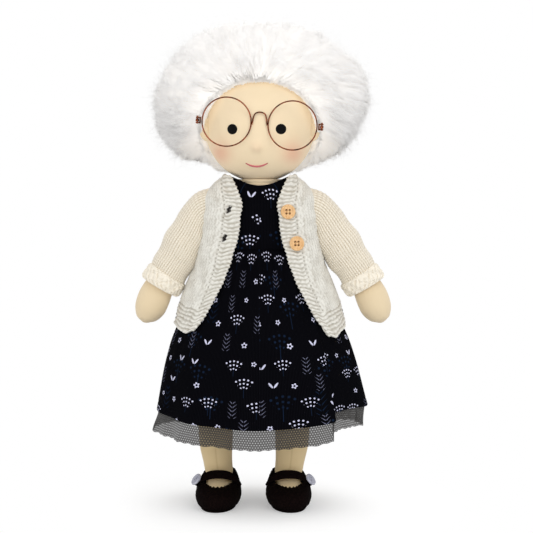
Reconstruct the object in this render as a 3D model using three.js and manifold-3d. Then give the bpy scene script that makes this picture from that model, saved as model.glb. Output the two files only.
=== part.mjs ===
// A stuffed cloth doll in a print dress, a net petticoat, a knitted cardigan, felt shoes and
// wire glasses. Millimetres, +Z up. The doll faces -Y, and its left side is +X. The origin is
// on the floor, under the middle of the doll.

import * as THREE from "three";
import { mergeVertices } from "three/addons/utils/BufferGeometryUtils.js";
import Module from "manifold-3d";

// Clearances
const seamGap = 0.3; // between pieces that are sewn, seated or soldered together
const clothGap = 0.5; // between layers of clothes
const turnGap = 0.8; // between soft pieces that turn on each other

// Heights, each from the one before it, from the floor up
const legLength = 157; // floor to the line where the legs are sewn on
const seatHeight = 57; // leg seam to waist seam
const chestHeight = 29; // waist seam to shoulder axis
const shoulderHeight = 13; // shoulder axis to the neck's pivot
const neckRise = 12.5; // neck's pivot to the underside of the head

// Body
const torsoWidth = 72;
const torsoDepth = 50;
const seatWidth = 82; // across the hips
const seatRise = 27; // height in which the flat bottom seam swells to the full depth
const seamHalfDepth = 1.2; // half thickness of a flat sewn edge
const hipTapeRadius = 2;
const neckRadius = 17;
const neckBallRadius = 11.5; // lower end of the neck, sunk in the torso
const neckPlay = 4.3; // room round the neck inside the neckline
const headRadius = 45;
const noseRadius = 4.6;
const noseDrop = 16.7; // below the middle of the head
const earReach = 5.2;
const earHeight = 16;
const earThickness = 6;
const earForward = 14; // in front of the middle of the head
const earDrop = 5.5; // below the middle of the head
const faceShift = -2.4; // of the eyes, nose and mouth, to the doll's right
const eyeSpacing = 39.4;
const eyeDrop = 4.5;
const eyeWidth = 7;
const eyeHeight = 7.8;
const eyeThickness = 0.9;
const mouthWidth = 17.8;
const mouthSag = 2.7;
const mouthDrop = 31; // of the corners, below the middle of the head
const mouthThread = 1.4; // diameter

// Hair
const capThickness = 1;
const hairWidth = 178;
const hairHeight = 130;
const hairDepth = 110;
const hairRise = 21.5; // middle of the hair above the middle of the head
const hairBack = 10; // middle of the hair behind the middle of the head
const hairLump = 0.028; // height of the tufts, as a share of the radius
const tuftsAround = 7;
const tuftsUp = 4;
const foreheadRise = 35.5; // hairline above the middle of the head
const faceHalfWidth = 47;
const faceDrop = 7.5; // middle of the face's opening in the hair, below the middle of the head
const hairClear = 8; // between the hair's lower edge and the cardigan's collar

// Arms: points of the middle line as [out from the torso, down from the shoulder axis, turn]
const armLine = [
  [0.3, 0, 0],
  [5, 0, 2],
  [12.5, 4, 20],
  [18, 14, 40],
  [26.5, 27.8, 50],
  [36, 41.8, 54],
  [44, 53.2, 57],
  [49, 60.3, 59],
  [54, 70.2, 64],
  [57.8, 79.8, 69],
  [60.5, 87, 73],
  [61.6, 89.8, 75],
];
const armRootRadius = 12.6;
const armRadius = 13.2;
const wristRadius = 12.2;
const handRadius = 13.4;
const sleeveEnd = 6; // row of the arm line where the sleeve stops and the cuff begins
const cuffEnd = 7.1;
const sleeveRadius = 16.7;
const cuffRadius = 18.4;
const knitThickness = 2.3;

// Legs
const hipOut = [-27, 23]; // middle of each leg at the hip seam, right leg first
const kneeOut = [-37.5, 27.5];
const ankleOut = [-36, 25.5];
const thighWidth = 28.4;
const ankleWidth = 24.4;
const ankleBack = 8; // leg's middle behind the middle of the doll
const footLength = 49;
const footWidth = 27;
const footHeight = 19;

// Shoes
const soleThickness = 2;
const shoeWidth = 37;
const shoeLength = 60;
const shoeHeight = 23; // at the toe box
const collarHeight = 26.5; // at the heel
const heelWidth = 33;
const heelRoom = 2.5; // felt behind the heel
const soleInset = 1; // of the sole's edge inside the upper's
const openingWidth = 23;
const openingLength = 21;
const openingForward = 8; // opening's middle in front of the middle of the doll
const strapWidth = 5;
const strapThickness = 1.8;
const strapEnd = 24; // degrees above level where the strap's ends sit
const strapForward = 11; // strap's middle in front of the middle of the doll
const shoeButtonDiameter = 9;
const shoeButtonThickness = 2.4;
const shoeButtonRise = 32; // degrees above level where the button sits
const shoeButtonSwing = 30; // degrees that it is turned to the front

// Dress and petticoat
const bodiceThickness = 1.2;
const skirtThickness = 1;
const skirtLength = 142;
const hemWidth = 173;
const hemDepth = 134;
const skirtBell = 0.7; // power of the bell's curve: 1 is a plain cone
const foldCount = 9;
const foldDepth = 0.026; // at the hem, as a share of the radius
const netThickness = 0.7;
const netDrop = 12; // top of the net below the waist
const netShow = 17; // net below the dress's hem

// Cardigan
const cardiganGap = 2.5; // over the skirt's gathers
const armholeGap = 1.1; // round the top of the sleeve
const collarRise = 27; // collar above the shoulder axis
const collarHalfWidth = 27;
const collarHalfDepth = 25;
const frontLength = 125; // collar to the front corners
const backLength = 117; // collar to the hem at the sides and back
const closeDrop = 16; // where the two fronts come closest, below the collar
const closeHalf = 14.8; // half the distance between the fronts there
const collarHalf = 22.8; // at the collar
const hemHalf = 54.8; // at the front corners
const buttonDiameter = 12.1;
const buttonThickness = 2.6;
const buttonBack = 0.86; // flat back, as a share of the diameter
const buttonRows = [28.3, 54]; // below the collar
const buttonInset = [7.6, 9.3]; // of each button's middle from the front edge
const holeWidth = 2.6;
const holeHeight = 6.4;
const holeSlant = 20; // degrees

// Glasses
const wireRadius = 0.6;
const rimRadius = 19.4;
const rimSpacing = 52.4; // least distance between the rims' middles
const glassesRise = 1.1; // above the middle of the head
const glassesForward = 0.6; // wire's middle in front of the head's front
const glassesRoll = 3.3; // degrees, the doll's right side up
const bridgeRise = 9;
const hingeWall = 1.2;
const hingeHeight = 5.2;
const hingeDepth = 3;
const knuckleRadius = 1.4;
const knuckleHeight = 2.2;
const screwRadius = 0.5;
const templeLength = 58;
const templeClear = 4.4; // temple's middle outside the side of the head
const templeSplay = 12; // degrees that a temple opens outwards
const templePlay = 2; // behind the temple's end in the hair

// Derived heights
const hipZ = legLength;
const waistZ = hipZ + seatHeight;
const shoulderZ = waistZ + chestHeight;
const neckZ = shoulderZ + shoulderHeight;
const headZ = neckZ + neckRise + headRadius;
const collarZ = shoulderZ + collarRise;

const wasm = await Module();
wasm.setup();

const RIGHT = -1;
const LEFT = 1;
const sides = [
  { sign: RIGHT, name: "right", index: 0 },
  { sign: LEFT, name: "left", index: 1 },
];
const radians = THREE.MathUtils.degToRad;
const lerp = THREE.MathUtils.lerp;

// Helpers: closed bodies from rings and grids of points

function indexed(points, faces) {
  const geometry = new THREE.BufferGeometry();
  geometry.setFromPoints(points);
  geometry.setIndex(faces);
  return facingOut(geometry);
}

// Turns every face round if the body's signed volume is negative.
function facingOut(geometry) {
  const position = geometry.attributes.position;
  const index = geometry.index;
  const corner = [0, 1, 2].map(() => new THREE.Vector3());
  let volume = 0;
  for (let i = 0; i < index.count; i += 3) {
    corner.forEach((point, k) => point.fromBufferAttribute(position, index.getX(i + k)));
    volume += corner[0].dot(corner[1].clone().cross(corner[2]));
  }
  if (volume < 0) index.array.reverse();
  return geometry;
}

function bandFaces(faces, first, second, count) {
  for (let i = 0; i < count; i++) {
    const next = (i + 1) % count;
    faces.push(first + i, first + next, second + next, first + i, second + next, second + i);
  }
}

// A solid skinned over rings of points, with a flat cap at each end.
function skin(rings) {
  const count = rings[0].length;
  const points = rings.flat();
  const faces = [];
  for (let r = 0; r + 1 < rings.length; r++) bandFaces(faces, r * count, (r + 1) * count, count);
  [0, rings.length - 1].forEach((r) => {
    const middle = points.length;
    points.push(rings[r].reduce((sum, p) => sum.add(p), new THREE.Vector3()).divideScalar(count));
    for (let i = 0; i < count; i++) {
      const a = r * count + i;
      const b = r * count + ((i + 1) % count);
      faces.push(...(r === 0 ? [middle, b, a] : [middle, a, b]));
    }
  });
  return indexed(points, faces);
}

// A tube wall between outer and inner rings, both from one open end to the other. Both faces are
// split along the same diagonals, so that layers of cloth stay parallel.
function wall(outer, inner) {
  const count = outer[0].length;
  const last = outer.length - 1;
  const lining = outer.length * count;
  const faces = [];
  for (let r = 0; r < last; r++) {
    const inside = [];
    bandFaces(faces, r * count, (r + 1) * count, count);
    bandFaces(inside, lining + r * count, lining + (r + 1) * count, count);
    faces.push(...inside.reverse());
  }
  bandFaces(faces, lining, 0, count);
  bandFaces(faces, last * count, lining + last * count, count);
  return indexed([...outer, ...inner].flat(), faces);
}

// A panel of cloth: outer and inner rows of points, closed along its four edges.
function panel(outer, inner) {
  const loops = outer.map((row, r) => [...row, ...inner[r].slice().reverse()]);
  const count = loops[0].length;
  const half = outer[0].length;
  const faces = [];
  for (let r = 0; r + 1 < loops.length; r++) bandFaces(faces, r * count, (r + 1) * count, count);
  [0, loops.length - 1].forEach((r) => {
    for (let i = 0; i + 1 < half; i++) {
      const a = r * count + i;
      const b = r * count + count - 1 - i;
      const quad = r === 0 ? [a, b - 1, a + 1, a, b, b - 1] : [a, a + 1, b - 1, a, b - 1, b];
      faces.push(...quad);
    }
  });
  return indexed(loops.flat(), faces);
}

function ring(count, place) {
  return Array.from({ length: count }, (_, i) => place((i / count) * 2 * Math.PI));
}

function steps(count, place) {
  return Array.from({ length: count + 1 }, (_, i) => place(i / count));
}

// Helpers: joining and cutting

function solid(geometry) {
  const bare = geometry.clone();
  bare.deleteAttribute("normal");
  bare.deleteAttribute("uv");
  const merged = mergeVertices(bare, 1e-4);
  return new wasm.Manifold(
    new wasm.Mesh({
      numProp: 3,
      vertProperties: new Float32Array(merged.attributes.position.array),
      triVerts: new Uint32Array(merged.index.array),
    }),
  );
}

function body(manifold) {
  const mesh = manifold.getMesh();
  const geometry = new THREE.BufferGeometry();
  geometry.setAttribute("position", new THREE.BufferAttribute(mesh.vertProperties, mesh.numProp));
  geometry.setIndex(new THREE.BufferAttribute(mesh.triVerts, 1));
  return geometry;
}

function cut(geometry, ...tools) {
  return body(tools.reduce((left, tool) => left.subtract(solid(tool)), solid(geometry)));
}

function join(...pieces) {
  return body(pieces.slice(1).reduce((sum, piece) => sum.add(solid(piece)), solid(pieces[0])));
}

function common(geometry, tool) {
  return body(solid(geometry).intersect(solid(tool)));
}

// Helpers: plain shapes

function ellipsoid(halfX, halfY, halfZ, around = 20, along = 12) {
  return new THREE.SphereGeometry(1, around, along).rotateX(Math.PI / 2).scale(halfX, halfY, halfZ);
}

function block(low, high) {
  const size = new THREE.Vector3().subVectors(high, low);
  const middle = new THREE.Vector3().addVectors(low, high).multiplyScalar(0.5);
  return new THREE.BoxGeometry(size.x, size.y, size.z).translate(middle.x, middle.y, middle.z);
}

// A body turned about +Z from [radius, height] points that start and end on the axis.
function turned(profile, around = 20) {
  const points = profile.map(([radius, height]) => new THREE.Vector2(radius, height));
  return new THREE.LatheGeometry(points, around).rotateX(Math.PI / 2);
}

function wire(points, radius, count, around = 3) {
  const section = new THREE.Shape().absarc(0, 0, radius, 0, 2 * Math.PI);
  const path = new THREE.CatmullRomCurve3(points);
  return new THREE.ExtrudeGeometry(section, {
    steps: count,
    extrudePath: path,
    curveSegments: around,
  });
}

// Half width and half depth at a height, from rows of [height, half width, half depth].
function sectionAt(rows, z) {
  const last = rows.length - 1;
  let r = 0;
  while (r < last - 1 && z > rows[r + 1][0]) r++;
  const share = THREE.MathUtils.clamp((z - rows[r][0]) / (rows[r + 1][0] - rows[r][0]), 0, 1);
  return [lerp(rows[r][1], rows[r + 1][1], share), lerp(rows[r][2], rows[r + 1][2], share)];
}

// A point of an oval section, by its angle from the front towards the doll's left.
function ovalPoint([halfWide, halfDeep], angle, z) {
  return new THREE.Vector3(halfWide * Math.sin(angle), -halfDeep * Math.cos(angle), z);
}

function shrunk([halfWide, halfDeep], inset) {
  return [halfWide - inset, halfDeep - inset];
}

// A row of [height, half width, half depth] set outwards, and raised.
function grown([z, halfWide, halfDeep], out, rise = 0) {
  return [z + rise, halfWide + out, halfDeep + out];
}

// Materials

function finish(color, roughness, metalness = 0) {
  return new THREE.MeshStandardMaterial({ color, roughness, metalness });
}

const skinCloth = () => finish("#efdcb6", 0.9);
const blackThread = () => finish("#14110f", 0.5);
const pinkThread = () => finish("#dc8a8c", 0.7);
const whiteHair = () => finish("#f4f2ee", 0.8);
const capCloth = () => finish("#e4dfd6", 0.9);
const copperWire = () => finish("#c98a66", 0.25, 1);
const dressCloth = () => finish("#0b0c12", 0.85);
const netCloth = () => finish("#7b7975", 0.9);
const knit = () => finish("#e9e2d4", 0.95);
const wood = () => finish("#dfae78", 0.5);
const felt = () => finish("#150a09", 0.95);
const paleButton = () => finish("#c9c9d4", 0.3);

const doll = new THREE.Group();

function place(name, geometry, material, parent = doll) {
  const mesh = new THREE.Mesh(geometry, material);
  mesh.name = name;
  parent.add(mesh);
  return mesh;
}

// Head: a ball with a small nose, and what is sewn on the face

function headBall(extra = 0) {
  const radius = headRadius + extra;
  return ellipsoid(radius, radius, radius, 24, 14).translate(0, 0, headZ);
}

// A point in front of the head's surface, by its place across and up from the face's middle.
function onFace(across, up, lift) {
  const radius = headRadius + lift;
  const x = across + faceShift;
  return new THREE.Vector3(x, -Math.sqrt(radius ** 2 - x ** 2 - up ** 2), headZ + up);
}

function head() {
  const nose = ellipsoid(noseRadius, noseRadius, noseRadius, 12, 8);
  const tip = onFace(0, -noseDrop, -noseRadius * 0.3);
  return join(headBall(), nose.translate(tip.x, tip.y, tip.z));
}

// The eye is a thin patch of thread that follows the ball of the head.
function eye(sign) {
  const middle = onFace((sign * eyeSpacing) / 2, -eyeDrop, 0);
  const post = new THREE.CylinderGeometry(1, 1, headRadius, 14);
  post.scale(eyeWidth / 2, 1, eyeHeight / 2);
  post.rotateZ(Math.atan2(middle.x, -middle.y)).translate(middle.x, middle.y, middle.z);
  const outer = headBall(seamGap + eyeThickness);
  return common(cut(outer, headBall(seamGap)), post);
}

function mouth() {
  const lift = seamGap + mouthThread / 2;
  const points = steps(4, (share) => {
    const across = (share - 0.5) * mouthWidth;
    const sag = mouthSag * (1 - (2 * share - 1) ** 2);
    return onFace(across, -mouthDrop - sag, lift);
  });
  return wire(points, mouthThread / 2, 10);
}

place("head", head(), skinCloth());
place("mouth_stitch", mouth(), pinkThread());
sides.forEach(({ sign, name }) => place(`eye_${name}`, eye(sign), blackThread()));

// Glasses: drawn round their own middle, then rolled and set in front of the face

const glassesY = -(headRadius + glassesForward);
const glassesZ = headZ + glassesRise;
const glasses = new THREE.Group();
glasses.position.set(0, 0, glassesZ);
glasses.rotation.y = radians(glassesRoll);
glasses.updateMatrix();
doll.add(glasses);

const knuckleRoom = knuckleRadius + seamGap;
const rimReach = rimRadius + wireRadius + seamGap; // rim's middle to the hinge's block
const hingeReach = hingeWall + knuckleRoom; // start of the block to the screw
const earX = Math.sqrt(headRadius ** 2 - earForward ** 2);
const templeOut = Math.max(headRadius + templeClear, earX + earReach + wireRadius + seamGap);
const rimOut = Math.max(rimSpacing / 2, templeOut - hingeReach - rimReach); // wide enough for the head
const bridgeHalf = rimOut - rimRadius - 2 * wireRadius - seamGap;
const hingeStart = rimOut + rimReach;
const hingeX = hingeStart + hingeReach;
const screwHole = screwRadius + seamGap;

function rim(sign) {
  const hoop = new THREE.TorusGeometry(rimRadius, wireRadius, 5, 24).rotateX(Math.PI / 2);
  return hoop.translate(sign * rimOut, glassesY, 0);
}

function bridge() {
  const bend = [[1, 0.06], [1, 0.45], [0.68, 0.88], [0, 1], [-0.68, 0.88], [-1, 0.45], [-1, 0.06]];
  const points = bend.map(
    ([across, up]) => new THREE.Vector3(across * bridgeHalf, glassesY, up * bridgeRise),
  );
  return wire(points, wireRadius, 12);
}

function upright(radius, height, sign) {
  const rod = new THREE.CylinderGeometry(radius, radius, height, 12).rotateX(Math.PI / 2);
  return rod.translate(sign * hingeX, glassesY, 0);
}

// The hinge's block has a slot for the temple's knuckle, between an upper and a lower ear.
function hingeBlock(sign) {
  const low = new THREE.Vector3(hingeStart, glassesY - hingeDepth / 2, -hingeHeight / 2);
  const high = new THREE.Vector3(hingeX + hingeWall, glassesY + hingeDepth / 2, hingeHeight / 2);
  const slotHalf = knuckleHeight / 2 + seamGap;
  const slotLow = new THREE.Vector3(hingeX - knuckleRoom, glassesY - hingeDepth, -slotHalf);
  const slotHigh = new THREE.Vector3(hingeX + hingeDepth, glassesY + hingeDepth, slotHalf);
  const shape = cut(block(low, high), block(slotLow, slotHigh), upright(screwHole, hingeHeight * 2, LEFT));
  return sign === LEFT ? shape : mirrored(shape);
}

// The same body on the doll's other side.
function mirrored(geometry) {
  return facingOut(geometry.clone().scale(-1, 1, 1));
}

function hingeScrew(sign) {
  const headRise = hingeHeight / 2 + seamGap;
  const screw = turned([
    [0, -headRise],
    [screwRadius, -headRise],
    [screwRadius, headRise],
    [2 * screwRadius, headRise],
    [1.8 * screwRadius, headRise + screwRadius],
    [0, headRise + 1.4 * screwRadius],
  ], 12);
  return screw.translate(sign * hingeX, glassesY, 0);
}

function temple(sign) {
  const x = sign * hingeX;
  const start = glassesY + (screwHole + knuckleRadius) / 2;
  const rod = wire(
    [new THREE.Vector3(x, start, 0), new THREE.Vector3(x, glassesY + templeLength, 0)],
    wireRadius,
    2,
  );
  return cut(join(upright(knuckleRadius, knuckleHeight, sign), rod), upright(screwHole, hingeHeight, sign));
}

// Room in the hair for a temple, from its closed place to its widest.
function templeRoom(sign) {
  const reach = templeLength * Math.sin(radians(templeSplay)) + 2 * wireRadius;
  const low = new THREE.Vector3(hingeX - 2 * wireRadius, -hairDepth, -3 * wireRadius);
  const high = new THREE.Vector3(hingeX + reach, glassesY + templeLength + templePlay, 3 * wireRadius);
  const room = block(low, high);
  return (sign === LEFT ? room : mirrored(room)).applyMatrix4(glasses.matrix);
}

place("glasses_bridge", bridge(), copperWire(), glasses);
sides.forEach(({ sign, name }) => {
  place(`glasses_rim_${name}`, rim(sign), copperWire(), glasses);
  place(`hinge_block_${name}`, hingeBlock(sign), copperWire(), glasses);
  place(`hinge_screw_${name}`, hingeScrew(sign), copperWire(), glasses);
  place(`temple_${name}`, temple(sign), copperWire(), glasses);
});

// Ears: flat pads on the sides of the head, each inside its temple

function ear(sign, extra = 0) {
  const pad = ellipsoid(earReach + extra, earThickness / 2 + extra, earHeight / 2 + extra, 12, 8);
  return pad.translate(sign * earX, -earForward, headZ - earDrop);
}

sides.forEach(({ sign, name }) => {
  place(`ear_${name}`, cut(ear(sign), headBall(seamGap)), skinCloth());
});

// Wig: a sewn cap behind a slanted hairline, and the mass of hair on it

function hairlineSide() {
  const size = 4 * headRadius;
  const slant = Math.atan2(foreheadRise, Math.sqrt(headRadius ** 2 - foreheadRise ** 2));
  const half = new THREE.BoxGeometry(size, size, size).translate(0, size / 2, 0);
  return half.rotateX(Math.PI / 2 - slant).translate(0, 0, headZ);
}

function wigCap() {
  const shell = cut(headBall(seamGap + capThickness), headBall(seamGap));
  const ears = sides.map(({ sign }) => ear(sign, seamGap));
  return cut(common(shell, hairlineSide()), ...ears);
}

function hair() {
  const cloud = ellipsoid(hairWidth / 2, hairDepth / 2, hairHeight / 2, 24, 14);
  const position = cloud.attributes.position;
  const point = new THREE.Vector3();
  for (let i = 0; i < position.count; i++) {
    point.fromBufferAttribute(position, i);
    const turn = Math.atan2(point.y, point.x);
    const up = Math.asin(THREE.MathUtils.clamp((2 * point.z) / hairHeight, -1, 1));
    const tuft = Math.sin(tuftsAround * turn + 1) * Math.sin(tuftsUp * up + 0.6) * Math.cos(up);
    point.multiplyScalar(1 + hairLump * tuft);
    position.setXYZ(i, point.x, point.y, point.z);
  }
  cloud.translate(0, hairBack, headZ + hairRise);
  const far = 2 * hairWidth;
  const face = new THREE.CylinderGeometry(1, 1, far, 24);
  face.scale(faceHalfWidth, 1, foreheadRise + faceDrop);
  face.translate(0, -far / 2, headZ - faceDrop);
  const jaw = block(
    new THREE.Vector3(-faceHalfWidth, -far, 0),
    new THREE.Vector3(faceHalfWidth, 0, headZ - faceDrop),
  );
  const below = block(new THREE.Vector3(-far, -far, 0), new THREE.Vector3(far, far, collarZ + hairClear));
  const nape = new THREE.CylinderGeometry(1, 1, 2 * headRadius, 16).rotateX(Math.PI / 2);
  nape.scale(2 * neckRadius, 1.6 * neckRadius, 1).translate(0, 0, headZ - headRadius);
  const round = headBall(2 * seamGap + capThickness);
  const ears = sides.map(({ sign }) => ear(sign, 2 * seamGap));
  const temples = sides.map(({ sign }) => templeRoom(sign));
  return cut(cloud, round, face, jaw, below, nape, ...ears, ...temples);
}

place("wig_cap", wigCap(), capCloth());
place("hair", hair(), whiteHair());

// Neck: a stuffed stub with a round lower end, under the ball of the head

function neck() {
  const ball = steps(5, (share) => {
    const angle = lerp(-Math.PI / 2, 0.2, share);
    return [neckBallRadius * Math.cos(angle), neckBallRadius * Math.sin(angle)];
  });
  const profile = [...ball, [neckRadius, 0.7 * neckRise], [neckRadius, 2 * neckRise], [0, 2 * neckRise]];
  profile[0][0] = 0;
  return cut(turned(profile, 20).translate(0, 0, neckZ), headBall(turnGap));
}

place("neck", neck(), skinCloth());

// Torso: swells from a flat bottom seam to square shoulders, with a hollow for the neck

const halfWidth = torsoWidth / 2;
const halfDepth = torsoDepth / 2;
const waistRow = [waistZ, halfWidth, halfDepth];
const chestRow = [shoulderZ, halfWidth, halfDepth];
const slopeRow = [shoulderZ + 0.85 * shoulderHeight, 0.97 * halfWidth, 0.9 * halfDepth];
const topRow = [neckZ + 0.25 * neckRise, 0.83 * halfWidth, 0.78 * halfDepth];
const torsoRows = [
  [hipZ + hipTapeRadius + seamGap, 0.86 * (seatWidth / 2), seamHalfDepth],
  [hipZ + seatRise / 2, 0.96 * (seatWidth / 2), 0.52 * halfDepth],
  [hipZ + seatRise, seatWidth / 2, halfDepth],
  waistRow,
  chestRow,
  slopeRow,
  topRow,
];

function torso() {
  const rings = torsoRows.map(([z, width, depth]) =>
    ring(22, (angle) => ovalPoint([width, depth], angle, z)),
  );
  const socketRadius = neckBallRadius + turnGap;
  const socket = ellipsoid(socketRadius, socketRadius, socketRadius, 18, 10).translate(0, 0, neckZ);
  const mouthOfSocket = turned([
    [0, 0],
    [socketRadius, 0],
    [neckRadius, 0.45 * neckRise],
    [0, 0.45 * neckRise],
  ], 18).translate(0, 0, neckZ);
  return cut(skin(rings), join(socket, mouthOfSocket));
}

place("torso", torso(), skinCloth());

// Arms, sleeves and cuffs: all follow one line from the shoulder to the finger tips

// Place and tilt on the arm line at a row number, which may lie between two rows.
function onArm(row) {
  const r = Math.min(Math.floor(row), armLine.length - 2);
  const [out, down, turn] = armLine[r].map((value, k) => lerp(value, armLine[r + 1][k], row - r));
  return { x: torsoWidth / 2 + out, z: shoulderZ - down, turn: radians(turn) };
}

function armRing(row, radius, count) {
  const { x, z, turn } = onArm(row);
  const up = new THREE.Vector3(Math.sin(turn), 0, Math.cos(turn));
  return ring(count, (angle) => {
    const point = new THREE.Vector3(x, -radius * Math.cos(angle), z);
    return point.addScaledVector(up, radius * Math.sin(angle));
  });
}

function sided(geometry, sign) {
  return sign === LEFT ? geometry : mirrored(geometry);
}

function arm(sign) {
  const radii = [
    armRootRadius, armRadius, armRadius, armRadius, armRadius, armRadius,
    wristRadius, wristRadius, handRadius, 0.94 * handRadius, 0.66 * handRadius, 0.3 * handRadius,
  ];
  return sided(skin(radii.map((radius, row) => armRing(row, radius, 14))), sign);
}

const sleeveStart = (2 * clothGap + bodiceThickness) / (armLine[1][0] - armLine[0][0]);

function sleeve(sign) {
  const rows = [sleeveStart, 1, 2, 3, 4, 5, sleeveEnd];
  const outer = rows.map((row) => armRing(row, sleeveRadius, 16));
  const inner = rows.map((row) => armRing(row, sleeveRadius - knitThickness, 16));
  return sided(wall(outer, inner), sign);
}

function cuff(sign) {
  const start = sleeveEnd + 0.05;
  const bulge = [0.94, 1, 1, 0.94];
  const rowAt = (i) => lerp(start, cuffEnd, i / (bulge.length - 1));
  const outer = bulge.map((share, i) => armRing(rowAt(i), share * cuffRadius, 16));
  const inner = bulge.map((_, i) => armRing(rowAt(i), wristRadius + clothGap, 16));
  return sided(wall(outer, inner), sign);
}

sides.forEach(({ sign, name }) => {
  place(`arm_${name}`, arm(sign), skinCloth());
  place(`sleeve_${name}`, sleeve(sign), knit());
  place(`cuff_${name}`, cuff(sign), knit());
});

// Legs: flat where they are sewn on, round below, with a foot. A rolled tape carries both.

function hipTape() {
  const start = hipOut[0] - thighWidth / 2;
  const end = hipOut[1] + thighWidth / 2;
  const roll = new THREE.CylinderGeometry(hipTapeRadius, hipTapeRadius, end - start, 12);
  return roll.rotateZ(Math.PI / 2).translate((start + end) / 2, 0, hipZ);
}

// The leg's middle at a height: out to the knee and slightly back in to the ankle.
function legMiddle(index, z) {
  const kneeZ = 0.45 * legLength;
  const upper = z > kneeZ;
  const share = upper ? (z - kneeZ) / (legLength - kneeZ) : (kneeZ - z) / kneeZ;
  return lerp(kneeOut[index], (upper ? hipOut : ankleOut)[index], share);
}

const footZ = soleThickness + seamGap + footHeight / 2;
const footY = ankleBack + ankleWidth / 2 - footLength / 2;

function foot(index, extra = 0) {
  const half = [footWidth / 2 + extra, footLength / 2 + extra, footHeight / 2 + extra];
  return ellipsoid(...half, 14, 8).translate(ankleOut[index], footY, footZ);
}

function leg(index, extra = 0) {
  const top = hipZ - hipTapeRadius - seamGap;
  const rows = [
    [top, 0.46 * thighWidth, seamHalfDepth, 0],
    [hipZ - 0.4 * seatRise, 0.49 * thighWidth, 0.24 * thighWidth, 0.2],
    [hipZ - seatRise, 0.5 * thighWidth, 0.46 * thighWidth, 0.4],
    [0.58 * legLength, 0.5 * thighWidth, 0.49 * thighWidth, 0.8],
    [0.36 * legLength, 0.49 * thighWidth, 0.48 * thighWidth, 1],
    [collarHeight, 0.5 * ankleWidth, 0.5 * ankleWidth, 1],
    [footZ, 0.47 * ankleWidth, 0.47 * ankleWidth, 1],
  ];
  const rings = rows.map(([z, width, depth, back]) =>
    ring(14, (angle) => {
      const point = ovalPoint([width + extra, depth + extra], angle, z);
      return point.add(new THREE.Vector3(legMiddle(index, z), back * ankleBack, 0));
    }),
  );
  return join(skin(rings), foot(index, extra));
}

place("hip_tape", hipTape(), skinCloth());
sides.forEach(({ name, index }) => place(`leg_${name}`, leg(index), skinCloth()));

// Shoes: a sole, an upper with an oval opening, and a strap with a button

const heelY = ankleBack + ankleWidth / 2 + heelRoom;
const shoeY = heelY - shoeLength / 2;
const upperZ = soleThickness + seamGap;
const toeLength = 0.83 * shoeLength;
const toeY = heelY - shoeLength + toeLength / 2;
const toeZ = 0.4 * shoeHeight;

function sole(index) {
  const half = shrunk([shoeWidth / 2, shoeLength / 2], soleInset);
  const outline = new THREE.Shape().absellipse(0, 0, ...half, 0, 2 * Math.PI);
  const plate = new THREE.ExtrudeGeometry(outline, {
    depth: soleThickness,
    bevelEnabled: false,
    curveSegments: 14,
  });
  return plate.translate(ankleOut[index], shoeY, 0);
}

function upper(index) {
  const x = ankleOut[index];
  const toe = ellipsoid(shoeWidth / 2, toeLength / 2, shoeHeight - toeZ, 16, 10);
  const heelHalf = heelWidth / 2;
  const heel = ellipsoid(heelHalf, heelHalf, collarHeight, 16, 10);
  const shape = join(
    toe.translate(x, toeY, toeZ),
    heel.translate(x, heelY - heelHalf, toeZ),
  );
  const far = 2 * shoeLength;
  const ground = block(new THREE.Vector3(x - far, -far, -far), new THREE.Vector3(x + far, far, upperZ));
  const sky = block(new THREE.Vector3(x - far, -far, collarHeight), new THREE.Vector3(x + far, far, far));
  const opening = new THREE.CylinderGeometry(1, 1, far, 16).rotateX(Math.PI / 2);
  opening.scale(openingWidth / 2, openingLength / 2, 1);
  opening.translate(x, -openingForward, far / 2 + footZ);
  return cut(shape, leg(index, clothGap), ground, sky, opening);
}

// The strap is part of an oval hoop over the toe box, from the inner side to the outer side.
const strapShare = Math.sqrt(1 - ((strapForward + toeY) / (toeLength / 2)) ** 2);
const strapHalf = [
  (shoeWidth / 2) * strapShare + clothGap,
  (shoeHeight - toeZ) * strapShare + clothGap,
];

function strap(index) {
  const start = radians(strapEnd);
  const end = Math.PI - start;
  const band = new THREE.Shape();
  band.absellipse(0, 0, strapHalf[0] + strapThickness, strapHalf[1] + strapThickness, start, end, false);
  band.absellipse(0, 0, strapHalf[0], strapHalf[1], end, start, true);
  const hoop = new THREE.ExtrudeGeometry(band, {
    depth: strapWidth,
    bevelEnabled: false,
    curveSegments: 8,
  });
  hoop.rotateX(Math.PI / 2);
  return hoop.translate(ankleOut[index], -strapForward + strapWidth / 2, toeZ);
}

// The button sits on the strap's outer end, turned half way to the front.
function shoeButton(sign, index) {
  const disc = turned([
    [0, 0],
    [0.9 * (shoeButtonDiameter / 2), 0],
    [shoeButtonDiameter / 2, 0.4 * shoeButtonThickness],
    [0.82 * (shoeButtonDiameter / 2), 0.9 * shoeButtonThickness],
    [0, shoeButtonThickness],
  ], 16);
  const rise = radians(shoeButtonRise);
  const swing = radians(shoeButtonSwing);
  disc.rotateY(Math.PI / 2 - rise).rotateZ(-swing);
  const lift = strapThickness + seamGap + (strapWidth / 2) * Math.sin(swing);
  disc.translate(
    (strapHalf[0] + lift) * Math.cos(rise),
    -strapForward,
    toeZ + (strapHalf[1] + lift) * Math.sin(rise),
  );
  return sided(disc, sign).translate(ankleOut[index], 0, 0);
}

sides.forEach(({ sign, name, index }) => {
  place(`shoe_sole_${name}`, sole(index), felt());
  place(`shoe_upper_${name}`, upper(index), felt());
  place(`shoe_strap_${name}`, strap(index), felt());
  place(`shoe_button_${name}`, shoeButton(sign, index), paleButton());
});

// Dress: a fitted bodice, and a bell skirt whose folds deepen to the hem

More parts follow.
